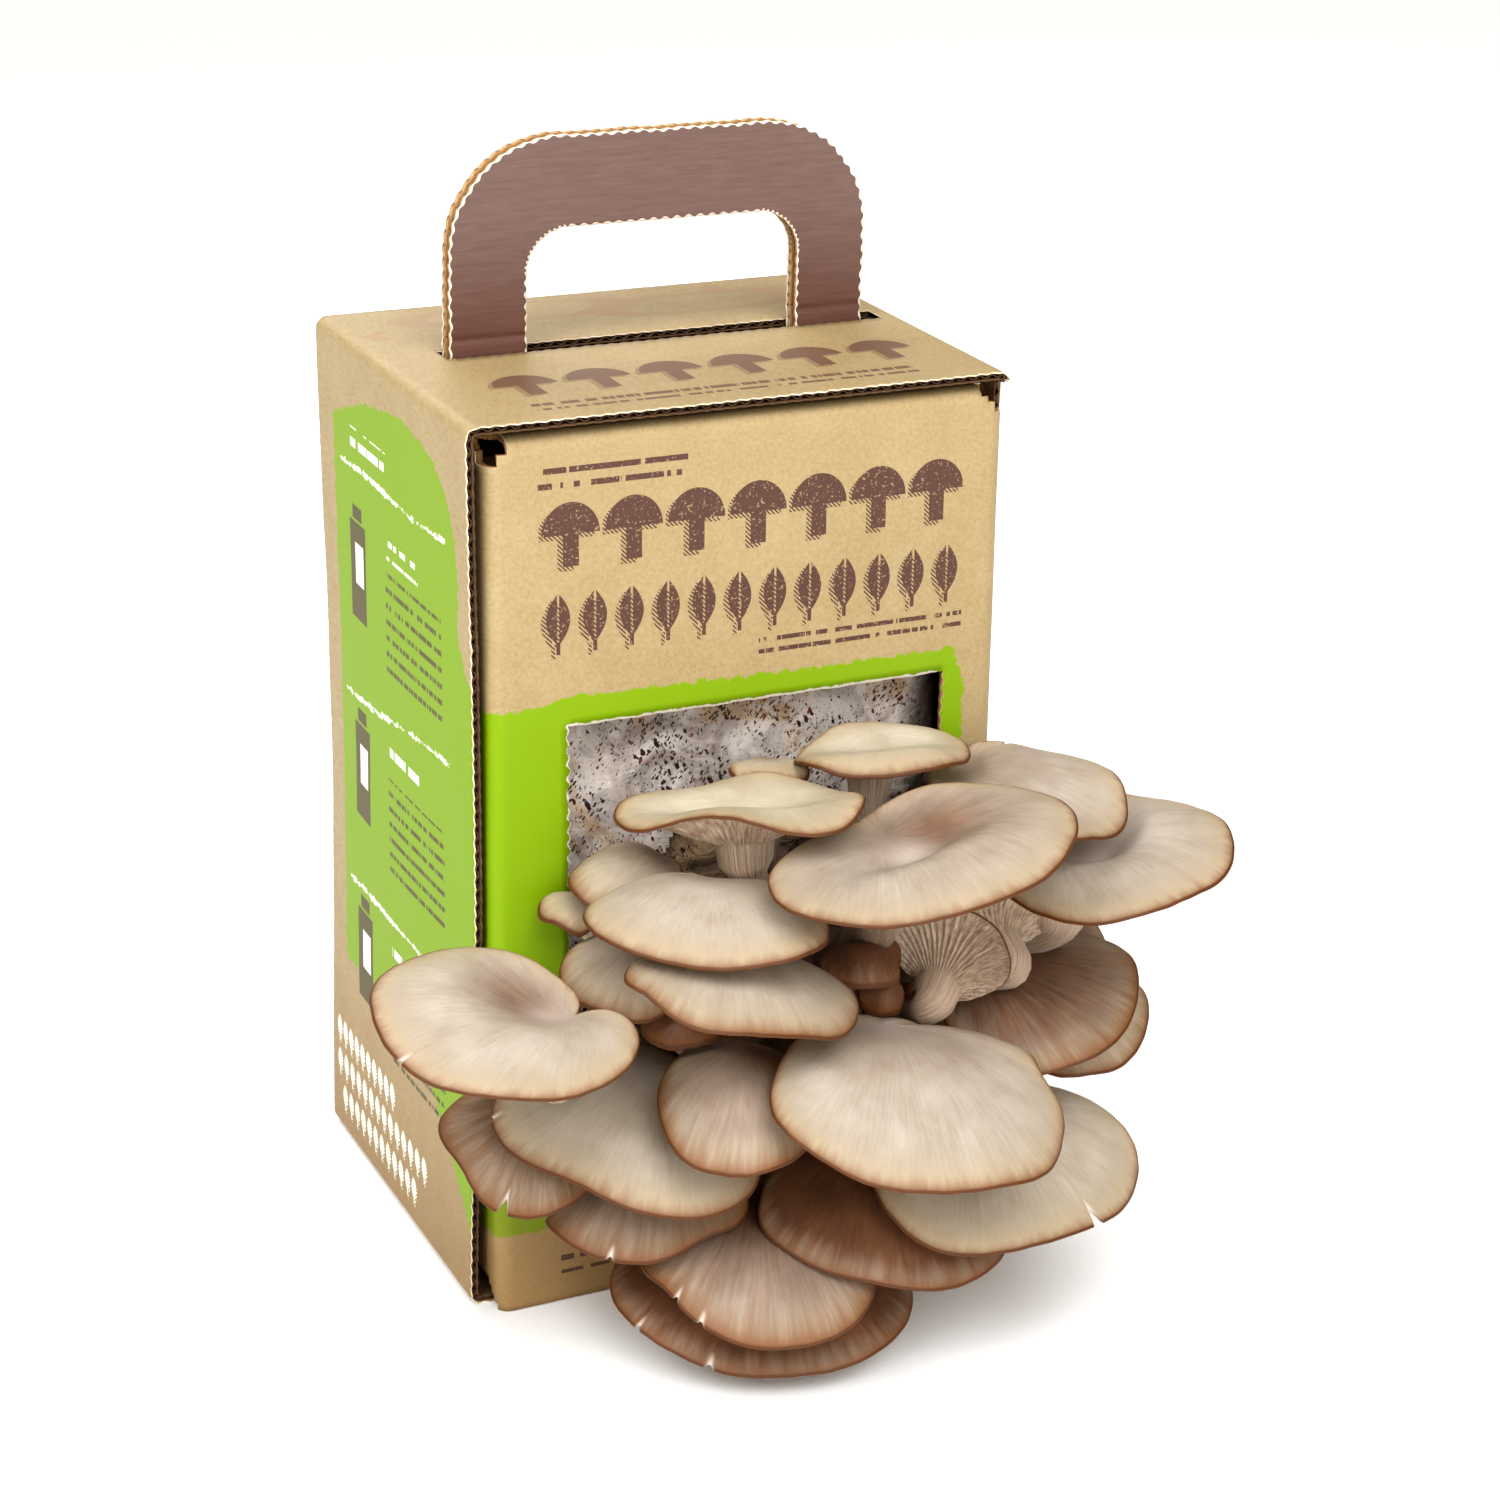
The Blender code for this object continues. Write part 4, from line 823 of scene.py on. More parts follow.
def bag_surface(inset, wrinkle, rows=120, columns=420):
    """The bag as rings of a rounded rectangle, one above the other, drawn in over round shoulders.

    Wrinkles push the film out and in: fine creases everywhere, and above 110 mm folds that wander up and
    down round the bag, 29 mm apart.
    """
    left, right, front, back = BAG_LEFT + inset, BAG_RIGHT - inset, BAG_FRONT + inset, BAG_BACK - inset
    low, high, radius = BAG_LOW + inset, BAG_HIGH - inset, BAG_CORNER - inset
    width, depth, quarter = right - left - 2 * radius, back - front - 2 * radius, radius * math.pi / 2
    stops = np.cumsum([0, width, quarter, depth, quarter, width, quarter, depth, quarter])
    x0, x1, y0, y1 = left + radius, right - radius, front + radius, back - radius
    way = np.arange(columns) / columns * stops[-1]
    middle_x = np.interp(way, stops, [x0, x1, x1, x1, x1, x0, x0, x0, x0])
    middle_y = np.interp(way, stops, [y0, y0, y0, y1, y1, y1, y1, y0, y0])
    heading = np.radians(np.interp(way, stops, [-90, -90, 0, 0, 90, 90, 180, 180, 270]))
    shoulder = np.linspace(0, math.pi / 2, 10)
    foot, top = low + radius - radius * np.cos(shoulder), high - radius + radius * np.sin(shoulder)
    rises = np.concatenate([foot, np.linspace(low + radius, high - radius, rows)[1:-1], top])
    pull = np.concatenate([radius * np.sin(shoulder), np.full(rows - 2, radius), radius * np.cos(shoulder)])
    rise, across = np.meshgrid(rises, way, indexing="ij")
    fold = np.sin((rise + 7 * np.sin(across / 23.0)) / 4.6 + 2 * np.sin(across / 41.0))
    fold = np.clip(fold, 0.2, 1) * np.clip((rise - 110) / 50, 0, 1)
    crease = waviness(across, rise, 7.0, 0.55) * 0.35 + waviness(across, 1.6 * rise, 2.0, 0.24) * 0.16
    out = pull[:, None] + wrinkle * (1.1 * fold + crease - 1.0)
    x = middle_x[None, :] + out * np.cos(heading)[None, :]
    y = middle_y[None, :] + out * np.sin(heading)[None, :]
    return np.stack([x, y, rise], -1)


def closed_rings(points):
    """Faces and points of a stack of rings, closed by a fan at the bottom and the top."""
    rows, columns = points.shape[:2]
    flat = np.concatenate([points.reshape(-1, 3), [points[0].mean(0)], [points[-1].mean(0)]])
    here = np.arange(columns)
    after = (here + 1) % columns
    bottom = np.stack([np.full(columns, rows * columns), after, here], -1)
    last = (rows - 1) * columns
    top = np.stack([np.full(columns, rows * columns + 1), last + here, last + after], -1)
    return flat, grid_faces(rows, columns, ring=True), bottom, top


def medium_cloud(tree, place):
    """Mycelium in soft clouds about 14 mm across, as a share from 0 to 1."""
    cloud = node(tree, "TexNoise", Vector=place, Scale=0.07, Detail=6.0, Roughness=0.6, Distortion=0.9)[0]
    return node(tree, "MapRange", cloud, 0.38, 0.58)[0]


def medium_colour(tree, place, cloud, pale="#D6CDC6", grey="#958A84", warm_share=0.8):
    """The clouds of mycelium, flecked with dark husk up to 3.7 mm long and a little rusty bran.

    Each layer of flecks is a pattern of cells on the block's front, 0.7 to 2.4 mm wide. A fleck lies round
    the middle of some cells, as large as the cell's own random number says, and in crowds 11 mm across.
    """
    warm = node(tree, "TexNoise", Vector=place, Scale=0.045, Detail=5.0, Roughness=0.7, Distortion=1.0)[0]
    warm = node(tree, "MapRange", warm, 0.52, 0.66, 0.0, warm_share)[0]
    colour = painted(tree, grey, (cloud, pale), (warm, "#B99568"))
    crowd = node(tree, "TexNoise", Vector=place, Scale=0.09, Detail=3.0, Roughness=0.6)[0]
    crowd = node(tree, "MapRange", crowd, 0.42, 0.58, 0.35, 1.0)[0]
    axes = node(tree, "SeparateXYZ", place)
    for cells_per_mm, slant, largest, share, flake in (
        (0.44, 0.5, 0.38, 0.55, "#2C150B"),
        (0.85, -0.8, 0.46, 0.7, "#331A0F"),
        (1.5, 0.2, 0.46, 0.6, "#3C2012"),
        (0.42, -0.4, 0.30, 0.13, "#74310F"),
    ):
        across = node(tree, "Math", axes[2], slant, axes[0], operation="MULTIPLY_ADD")[0]
        along = node(tree, "Math", axes[0], -slant, axes[2], operation="MULTIPLY_ADD")[0]
        spot = node(tree, "CombineXYZ", across, along)[0]
        spot = node(tree, "VectorMath", spot, (1.0, 0.47, 1.0), operation="MULTIPLY")[0]
        wobble = node(tree, "TexNoise", Vector=place, Scale=2.2 * cells_per_mm, Detail=3.0, Roughness=0.7)
        spot = node(tree, "VectorMath", wobble["Color"], (1.3, 1.3, 0.0), spot, operation="MULTIPLY_ADD")[0]
        cell = node(tree, "TexVoronoi", Vector=spot, Scale=cells_per_mm, voronoi_dimensions="2D")
        chances = node(tree, "SeparateColor", cell["Color"])
        limit = node(tree, "Math", chances[1], crowd, operation="MULTIPLY")[0]
        limit = node(tree, "Math", limit, largest, operation="MULTIPLY")[0]
        chosen = node(tree, "Math", chances[0], share, operation="LESS_THAN")[0]
        limit = node(tree, "Math", limit, chosen, operation="MULTIPLY")[0]
        depth = node(tree, "Math", limit, cell["Distance"], operation="SUBTRACT")[0]
        fleck = node(tree, "MapRange", depth, 0.0, 0.03)[0]
        colour = painted(tree, colour, (fleck, flake))
    return colour


# Polypropylene film, blown clear and clinging: its gloss lies as a coat over the matt white medium, and its
# crumples, 8 mm across, break up the lamps' reflections. Towards the bag's right-hand corner the colour is
# painted dark brown, as shade.
film, tree, shader = new_material(
    "clear_film_on_mycelium",
    roughness=0.6,
    specular_ior_level=0.2,
    coat_weight=0.8,
    coat_roughness=0.08,
    coat_ior=1.45,
)
place = place_in_mm(tree)
cloud = medium_cloud(tree, place)
# Painted shade: dark brown towards the bag's right-hand corner, its edge broken up by the clouds.
corner_shade = node(tree, "SeparateXYZ", place)[0]
corner_shade = node(tree, "Math", cloud, -5.0, corner_shade, operation="MULTIPLY_ADD")[0]
corner_shade = node(tree, "MapRange", corner_shade, 43.0, 52.0, 0.0, 0.85, interpolation_type="SMOOTHSTEP")[0]
colour = painted(tree, medium_colour(tree, place, cloud), (corner_shade, "#3A2A20"))
sagging = node(tree, "VectorMath", place, (0.45, 1.0, 1.3), operation="MULTIPLY")[0]
crumple = node(tree, "TexNoise", Vector=sagging, Scale=0.13, Detail=5.0, Roughness=0.6, Distortion=0.7)[0]
set_surface(tree, shader, colour, crumple, 0.4, 1.0)
coat_bump = node(tree, "Bump", Strength=1.0, Distance=0.006, Height=crumple)[0]
tree.links.new(coat_bump, shader.inputs["Coat Normal"])

# Damp straw and husk bound by mycelium: dull and uneven, brown with paler threads, and darker than the film's
# white because the cut lies in the cluster's shade.
medium, tree, shader = new_material("damp_growing_medium", roughness=0.9)
place = place_in_mm(tree)
cloud = medium_cloud(tree, place)
set_surface(tree, shader, medium_colour(tree, place, cloud, "#A98F70", "#4A382C", 0.4), cloud, 0.8, 2.0)

points, faces, bottom, top = closed_rings(bag_surface(inset=0.0, wrinkle=0.9))
mid_x, mid_y, mid_z = points[faces].mean(1).T
opening = outline_distance(FILM_CUT, mid_x, mid_z) + 1.5 * waviness(mid_x, mid_z, 4.0, 0.5)
on_front = mid_y < -40
bag = new_mesh("bag_film", points, faces[~((opening > 0) & on_front)], bottom, top, materials=[film])
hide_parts("grow_bag")
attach(bag, "root")
points, faces, bottom, top = closed_rings(bag_surface(inset=1.0, wrinkle=0.7, rows=60, columns=200))
medium_block = new_mesh("medium_block", points, faces, bottom, top, materials=[medium])
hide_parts("substrate_block")
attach(medium_block, "root")


# Cluster: the fused stem bases at the mouth of the cut, and every mushroom that grows from them.
# A cap is a fan with a dip over its stem, a thin rim that curls down, and gills that run onto the stem.
# Cap, gills and stem grew as one piece of flesh, so each mushroom is one closed skin.
BASE_CENTRE = np.array([13.0, -51.0, 72.0])
BASE_RADII = np.array([36.0, 21.0, 27.0])
RIM_THICKNESS = 0.55
LOBES = 3
# Where each stretch of a mushroom's skin starts and ends, as the material reads it.
RIM_STARTS, GILLS_START, STEM_STARTS, STEM_ENDS = 1.0, 1.04, 2.0, 3.0


def cap_axes(heading, droop, roll):
    """A cap's forward, side and up directions: heading 0 points to the front and 90 to the right."""
    turn, drop, tilt = np.radians([heading, droop, roll])
    level = np.array([np.sin(turn), -np.cos(turn), 0.0])
    sky = np.array([0.0, 0.0, 1.0])
    forward = level * np.cos(drop) - sky * np.sin(drop)
    up = sky * np.cos(drop) + level * np.sin(drop)
    side = np.cross(up, forward)
    return forward, side * np.cos(tilt) - up * np.sin(tilt), up * np.cos(tilt) + side * np.sin(tilt)


def turned_from(angle, spot):
    """How far angles in radians have turned from a spot in degrees, from minus to plus half a turn."""
    return (angle - math.radians(spot) + math.pi) % (2 * math.pi) - math.pi


def cap_outline(angle, across, along, back, bites, nicks, phase):
    """How far the rim is ahead and aside at each angle, and how torn it is there.

    The outline is an ellipse with slow waves, and its neck lies some way back from its middle. A bite (angle,
    share of the reach, width in degrees) draws the rim towards the neck in a bell curve, or out where its
    share is negative. A nick (angle, depth and half width in mm) does so with straight sides.
    """
    reach = 1 + 0.014 * np.sin(LOBES * angle + phase) + 0.008 * np.sin((LOBES + 3) * angle + 2.1 * phase)
    reach = reach * (1 + 0.003 * np.sin(9 * angle + 3 * phase) + 0.001 * np.sin(23 * angle + phase))
    ahead = along * np.cos(angle) * reach
    aside = across * np.sin(angle) * reach * (1 + 0.08 * np.cos(angle))
    from_neck = np.ones(len(angle))
    for spot, depth, width in bites:
        from_neck = from_neck - depth * np.exp(-((turned_from(angle, spot) / math.radians(width)) ** 2))
    torn = np.zeros(len(angle))
    for spot, depth, width in nicks:
        gap = 1 - np.abs(turned_from(angle, spot)) * max(across, along) / width
        from_neck = from_neck - np.clip(gap, 0, 1) * depth / np.hypot(ahead + back, aside)
        torn = np.maximum(torn, np.clip(0.8 * gap, 0, 1))
    return (ahead + back) * from_neck - back, aside * from_neck, torn


def stem_rings(collar, neck, axes, root, stem, foot, bend, flare, phase, ridge):
    """The rings of a stem, from the collar where the gills end down to the lump that it grows from.

    Its middle follows a cubic curve from the neck to the point of the lump that root gives as x and z, square
    to the cap and to the lump. Its radius runs evenly from stem to foot, with a swelling, and with ridges
    that die away. By a smooth step its section goes over from the collar's own shape to that circle.
    """
    forward, side, up = axes
    lump_x, lump_z = (root[0] - BASE_CENTRE[0]) / BASE_RADII[0], (root[1] - BASE_CENTRE[2]) / BASE_RADII[2]
    on_sphere = np.array([lump_x, -math.sqrt(1 - lump_x**2 - lump_z**2), lump_z])
    outward = on_sphere / BASE_RADII
    outward = outward / np.linalg.norm(outward)
    root_point = BASE_CENTRE + on_sphere * BASE_RADII - outward * 1.5
    pull = bend * np.linalg.norm(neck - root_point)
    start = neck - up * 0.25 * stem
    steps = 20
    share = np.linspace(0, 1, steps + 1)[:, None]
    handles = (start, start - up * pull, root_point + outward * pull, root_point)
    weights = ((1 - share) ** 3, 3 * share * (1 - share) ** 2, 3 * share**2 * (1 - share), share**3)
    path = sum(weight * handle for weight, handle in zip(weights, handles))
    tangents = np.gradient(path, axis=0)
    tangents = tangents / np.linalg.norm(tangents, axis=1)[:, None]
    tangents[-1] = -outward
    section = np.stack([(collar - neck) @ forward, (collar - neck) @ side], 1)
    around = np.arctan2(section[:, 1], section[:, 0])
    first = forward
    rings = []
    for k in range(1, steps + 1):
        first = first - (first @ tangents[k]) * tangents[k]
        first = first / np.linalg.norm(first)
        second = np.cross(tangents[k], first)
        here = k / steps
        ridges = ridge * max(0.0, 1 - 1.9 * here)
        swell = 0.12 * stem * math.sin(5 * here + phase) + 0.1 * stem * max(0.0, here - 0.8) * 5
        radius = stem + (foot - stem) * here + swell + ridges + 0.05 * stem * np.sin(3 * around + 2 * phase)
        circle = radius[:, None] * np.stack([np.cos(around), np.sin(around)], 1)
        ease = min(1.0, 1.2 * flare**2 * here)
        ease = ease * ease * (3 - 2 * ease)
        shape = section * (1 - ease) + circle * ease
        rings.append(path[k] + np.outer(shape[:, 0], first) - np.outer(shape[:, 1], second))
    return rings, STEM_STARTS + np.arange(1, steps + 1) / steps


def mushroom_surface(
    at, heading, droop, roll, across, along, root, inset=0.8, dome=5.0, dip=3.0, hollow=(0.0, 0.0),
    spread=None, curl=0.8, wave=0.8, bites=(), nicks=(), creases=(), flesh=9.0, stem=5.0, foot=4.5, bend=0.4,
    flare=1.7, gills=64, phase=0.0,
):
    """The whole skin of a mushroom as rings: over the cap, round the rim, along the gills and down the stem.

    The cap's middle is at a place, and its half sizes are across and along. Its neck is behind its middle by
    inset's share of along. Its height is a paraboloid, the dome, less a bell curve, the dip. hollow is how
    far ahead and aside of the neck the dip is deepest, and spread how far it reaches ahead, behind, right and
    left. A curl takes the rim down, a wave takes it up and down, and a crease (angle, depth in mm, width in
    degrees) is a valley from the neck to the rim. The flesh thins towards the rim. Gills stand out below as
    narrow ridges round the neck, every second one short, and meet the stem at flare times its radius.
    Returns the pole, the rings, for each ring how far along the skin it is, the angles, and for each angle
    its reach from the neck and how torn it is.
    """
    forward, side, up = cap_axes(heading, droop, roll)
    middle = np.array(at, float)
    back = inset * along
    turns = 5 * gills
    angle = np.arange(turns) * 2 * np.pi / turns
    rim_ahead, rim_aside, torn = cap_outline(angle, across, along, back, bites, nicks, phase)
    rim_distance = np.hypot(rim_ahead + back, rim_aside)
    edge = 0.5 * RIM_THICKNESS / rim_distance.max()
    spread_ahead, spread_behind, spread_right, spread_left = spread or [0.3 * min(across, along)] * 4
    ripple = 0.1 * np.sin(11 * angle + phase) + 0.04 * np.sin(29 * angle + 2 * phase)
    valley = np.zeros(turns)
    for spot, depth, width in creases:
        valley = valley + depth * np.exp(-((turned_from(angle, spot) / math.radians(width)) ** 2))

    def top_height(ahead, aside, share):
        height = dome * (1 - (ahead / along) ** 2 - (aside / across) ** 2)
        past, beside = ahead + back - hollow[0], aside - hollow[1]
        past = past / np.where(past > 0, spread_ahead, spread_behind)
        beside = beside / np.where(beside > 0, spread_right, spread_left)
        height = height - dip * np.exp(-(past**2 + beside**2) / 2) - valley * share
        height = height - curl * share**18 + wave * share**3 * np.sin((LOBES + 1) * angle + 1.7 * phase)
        return height + ripple * share**4

    def ring(share, depth, relief=0.0):
        ahead = share * (rim_ahead + back) - back
        aside = share * rim_aside
        within = np.minimum(share, 1)
        thickness = RIM_THICKNESS + (flesh - RIM_THICKNESS) * (1 - within) ** 1.4
        height = top_height(ahead, aside, within) - depth * thickness - relief
        return middle + np.outer(ahead, forward) + np.outer(aside, side) + np.outer(height, up)

    rings, way = [], []
    near_rim = [0.89, 0.92, 0.945, 0.965, 0.98, 0.99, 1.0]
    for share in np.concatenate([[0.02, 0.07], np.linspace(0.14, 0.86, 16), near_rim]):
        rings.append(ring(np.ones(turns) * share * (1 - edge), 0.0))
        way.append(share)
    for turn in np.linspace(0, math.pi, 7)[1:]:
        rings.append(ring(np.ones(turns) * (1 - edge + edge * math.sin(turn)), (1 - math.cos(turn)) / 2))
        way.append(RIM_STARTS + (GILLS_START - RIM_STARTS) * turn / math.pi)
    blade = (0.5 + 0.5 * np.cos(gills * angle)) ** 2
    short_blade = (0.5 - 0.5 * np.cos(gills * angle)) ** 3
    gill_end = np.minimum(flare * stem, 0.75 * rim_distance) / rim_distance
    gill_depth = min(1.3, 0.16 * flesh)
    for share in np.linspace(0, 1, 15)[1:]:
        grown = min(1.0, share * 6)
        relief = gill_depth * grown * (blade + short_blade * max(0.0, 1 - 2.2 * share))
        rings.append(ring((1 - edge) * (1 - share) + gill_end * share, 1.0, relief))
        way.append(GILLS_START + (STEM_STARTS - GILLS_START) * share)
    neck_height = dome * (1 - inset**2) - dip
    neck = middle - back * forward + (neck_height - flesh) * up
    pole = middle - back * forward + top_height(np.array([-back]), np.zeros(1), np.zeros(1))[0] * up
    ridge = 0.35 * gill_depth * (blade - 0.5)
    axes = (forward, side, up)
    down_stem, way_down = stem_rings(rings[-1], neck, axes, root, stem, foot, bend, flare, phase, ridge)
    return pole, np.array(rings + down_stem), np.append(way, way_down), angle, rim_distance, torn


# Oyster mushroom flesh, as it grew: a satin skin, softened by light that sinks a little way in, with fine
# streaks that run outwards. It is greyish fawn and browner round the neck, partly brown flesh and partly
# painted shade, with a band painted darker as shade near the rim and a thin dark scorched line at the rim.
# The hollow is paler, partly a whitish dusting and partly a painted highlight. The gills are cream, and the
# stems are painted dark brown towards the lump, as shade.
flesh_skin, tree, shader = new_material(
    "oyster_mushroom_flesh",
    roughness=0.5,
    specular_ior_level=0.3,
    subsurface_weight=0.12,
    subsurface_scale=0.003,
)
shader.inputs["Subsurface Radius"].default_value = (1.0, 0.55, 0.3)
way, from_rim, brown, olive, bloom_highlight, singe, torn = (
    node(tree, "Attribute", attribute_name=name)["Fac"]
    for name in ("way", "from_rim", "brown", "olive", "bloom_highlight", "singe", "torn")
)
grain_place = node(tree, "Attribute", attribute_name="grain")["Vector"]
# The clouds are 10 mm across. Halfway out, the streaks are about 1 mm wide and the fine ones 0.3 mm.
cloud = node(tree, "TexNoise", Vector=place_in_mm(tree), Scale=0.1, Detail=3.0)[0]
streak = node(tree, "TexNoise", Vector=grain_place, Scale=1.0, Detail=4.0, Roughness=0.6)[0]
fine = node(tree, "TexNoise", Vector=grain_place, Scale=3.1, Detail=4.0, Roughness=0.6)[0]
tone = node(tree, "Mix", 0.7, None, streak, fine)[0]
tone = node(tree, "Mix", 0.5, None, tone, cloud)[0]
tone = node(tree, "MapRange", tone, 0.25, 0.75)[0]
olive_colour = painted(tree, "#A79B80", (tone, "#D8D0BF"))
brown_colour = painted(tree, "#4A3027", (tone, "#875D3E"))
uneven = node(tree, "Math", streak, 0.5, operation="SUBTRACT")[0]
browning = node(tree, "Math", uneven, 0.6, brown, operation="MULTIPLY_ADD")[0]
browning = node(tree, "MapRange", browning, 0.0, 1.0)[0]
unbrowned = node(tree, "Math", 1.0, browning, operation="SUBTRACT")[0]
# Painted shade: within 14 mm of the rim the cap is darker, less so where it is browned.
pale = node(tree, "MapRange", from_rim, 14.0, 3.0, 0.0, 0.6, interpolation_type="SMOOTHSTEP")[0]
pale = node(tree, "Math", pale, unbrowned, operation="MULTIPLY")[0]
warm = node(tree, "MapRange", from_rim, 7.0, 0.0, 0.0, 0.3, interpolation_type="SMOOTHSTEP")[0]
warm = node(tree, "Math", warm, unbrowned, operation="MULTIPLY")[0]
singed_width = node(tree, "Math", singe, 13.0, 3.1, operation="MULTIPLY_ADD")[0]
band_width = node(tree, "Math", uneven, 2.4, 1.0, operation="MULTIPLY_ADD")[0]
band_width = node(tree, "Math", band_width, singed_width, operation="MULTIPLY")[0]
scorch = node(tree, "Math", from_rim, band_width, operation="DIVIDE")[0]
scorch = node(tree, "MapRange", scorch, 1.0, 0.0)[0]
scorch = node(tree, "Math", scorch, 2.6, operation="POWER")[0]
rim_line = node(tree, "MapRange", from_rim, 0.45, 0.05, 0.0, 0.65, interpolation_type="SMOOTHSTEP")[0]
cap_colour = painted(
    tree,
    "#998A79",
    (tone, "#C5BCB0"),
    (olive, olive_colour),
    (browning, brown_colour),
    # Round the hollow: a whitish dusting, with a painted highlight.
    (bloom_highlight, "#D9CEC6"),
    (pale, "#A89A82"),
    (warm, "#B08E5A"),
    (scorch, "#744A23"),
    (rim_line, "#45240F"),
)
gill_tone = node(tree, "MapRange", fine, 0.35, 0.65)[0]
gill_browning = node(tree, "Math", browning, 0.6, operation="MULTIPLY")[0]
gill_colour = painted(tree, "#A0866E", (gill_tone, "#D8C7B4"), (gill_browning, brown_colour))
below = node(tree, "MapRange", way, 1.025, 1.08, interpolation_type="SMOOTHSTEP")[0]
# Painted shade: the stems go dark brown towards the lump, deep in the cluster.
root_shade = node(tree, "MapRange", way, 1.9, 2.8, 0.0, 0.85, interpolation_type="SMOOTHSTEP")[0]
colour = painted(tree, cap_colour, (below, gill_colour), (root_shade, "#4C301D"), (torn, "#F3EADF"))
relief = node(tree, "Mix", 0.5, None, streak, fine)[0]
set_surface(tree, shader, colour, relief, 0.3, 0.5)


def grow(
    short_name, number, browned=0.0, olived=0.0, neck_brown_and_shade=0.4, edge_brown=0.0, bloom_and_highlight=0.0, stain_and_shade=None,
    **shape,
):
    """Makes one mushroom and gives its points what the skin's material reads.

    way is the place along the skin, and from_rim the millimetres from the rim over the top. grain turns
    round the cap with the skin, so that streaks run outwards. brown is how browned the cap is, a little less
    at the rim, with more in a bell curve about a stain near the neck (ahead and aside of the neck, and its
    size, in mm): partly brown flesh, and partly painted shade where the neck lies under other caps. Round the
    hollow the cap is paler, partly a whitish dusting and partly a painted highlight; olive is how olive the
    cap is, and singe how wide its rim is browned.
    """
    name, node_name = "oyster_" + short_name, "mushroom_" + short_name
    pole, rings, way, angle, reach, torn = mushroom_surface(phase=0.7 * number, **shape)
    points, faces, bottom, top = closed_rings(rings)
    points[-2], points[-1] = pole, rings[-1].mean(0)
    rows, columns = rings.shape[:2]
    size = min(shape["across"], shape["along"])
    way_all = np.append(np.repeat(way, columns), [0.0, STEM_ENDS])
    reach_all = np.append(np.tile(reach, rows), [reach.mean(), reach.mean()])
    turn = np.append(np.tile(angle, rows), [0.0, 0.0])
    outwards = np.minimum(way_all, RIM_STARTS)
    from_rim = (1 - outwards) * reach_all
    from_neck = outwards * reach_all
    grain_x, grain_y = np.cos(turn) * 0.42 * size, np.sin(turn) * 0.42 * size
    grain = np.stack([grain_x, grain_y, way_all * 2.2 + 17.0 * number], -1)
    near_rim = np.clip(1 - from_rim / 9.0, 0, 1)
    ahead, aside = from_neck * np.cos(turn), from_neck * np.sin(turn)
    stain_ahead, stain_aside, stain_size = stain_and_shade or (-0.1 * size, 0.0, 0.8 * size)
    stain = np.hypot(ahead - stain_ahead, aside - stain_aside) / stain_size
    hollow_ahead, hollow_aside = shape.get("hollow", (0.0, 0.0))
    from_hollow = np.hypot(ahead - hollow_ahead, aside - hollow_aside)
    torn_all = np.append(np.tile(torn, rows), [0.0, 0.0]) * np.clip(1 - from_rim / 2.5, 0, 1)
    fields = {
        "way": way_all,
        "from_rim": from_rim,
        "grain": grain,
        # About the stain the brown is partly the flesh's own and partly painted shade.
        "brown": browned * (1 - 0.3 * near_rim) + neck_brown_and_shade * np.exp(-(stain**2)),
        "olive": np.full(len(way_all), olived),
        "singe": np.full(len(way_all), edge_brown),
        "bloom_highlight": bloom_and_highlight * np.exp(-((from_hollow / (0.25 * size)) ** 2)),
        "torn": torn_all * (way_all < 1.5),
    }
    made = new_mesh(name, points, faces, bottom, top, materials=[flesh_skin], fields=fields)
    if node_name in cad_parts:
        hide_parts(node_name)
    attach(made, "root")


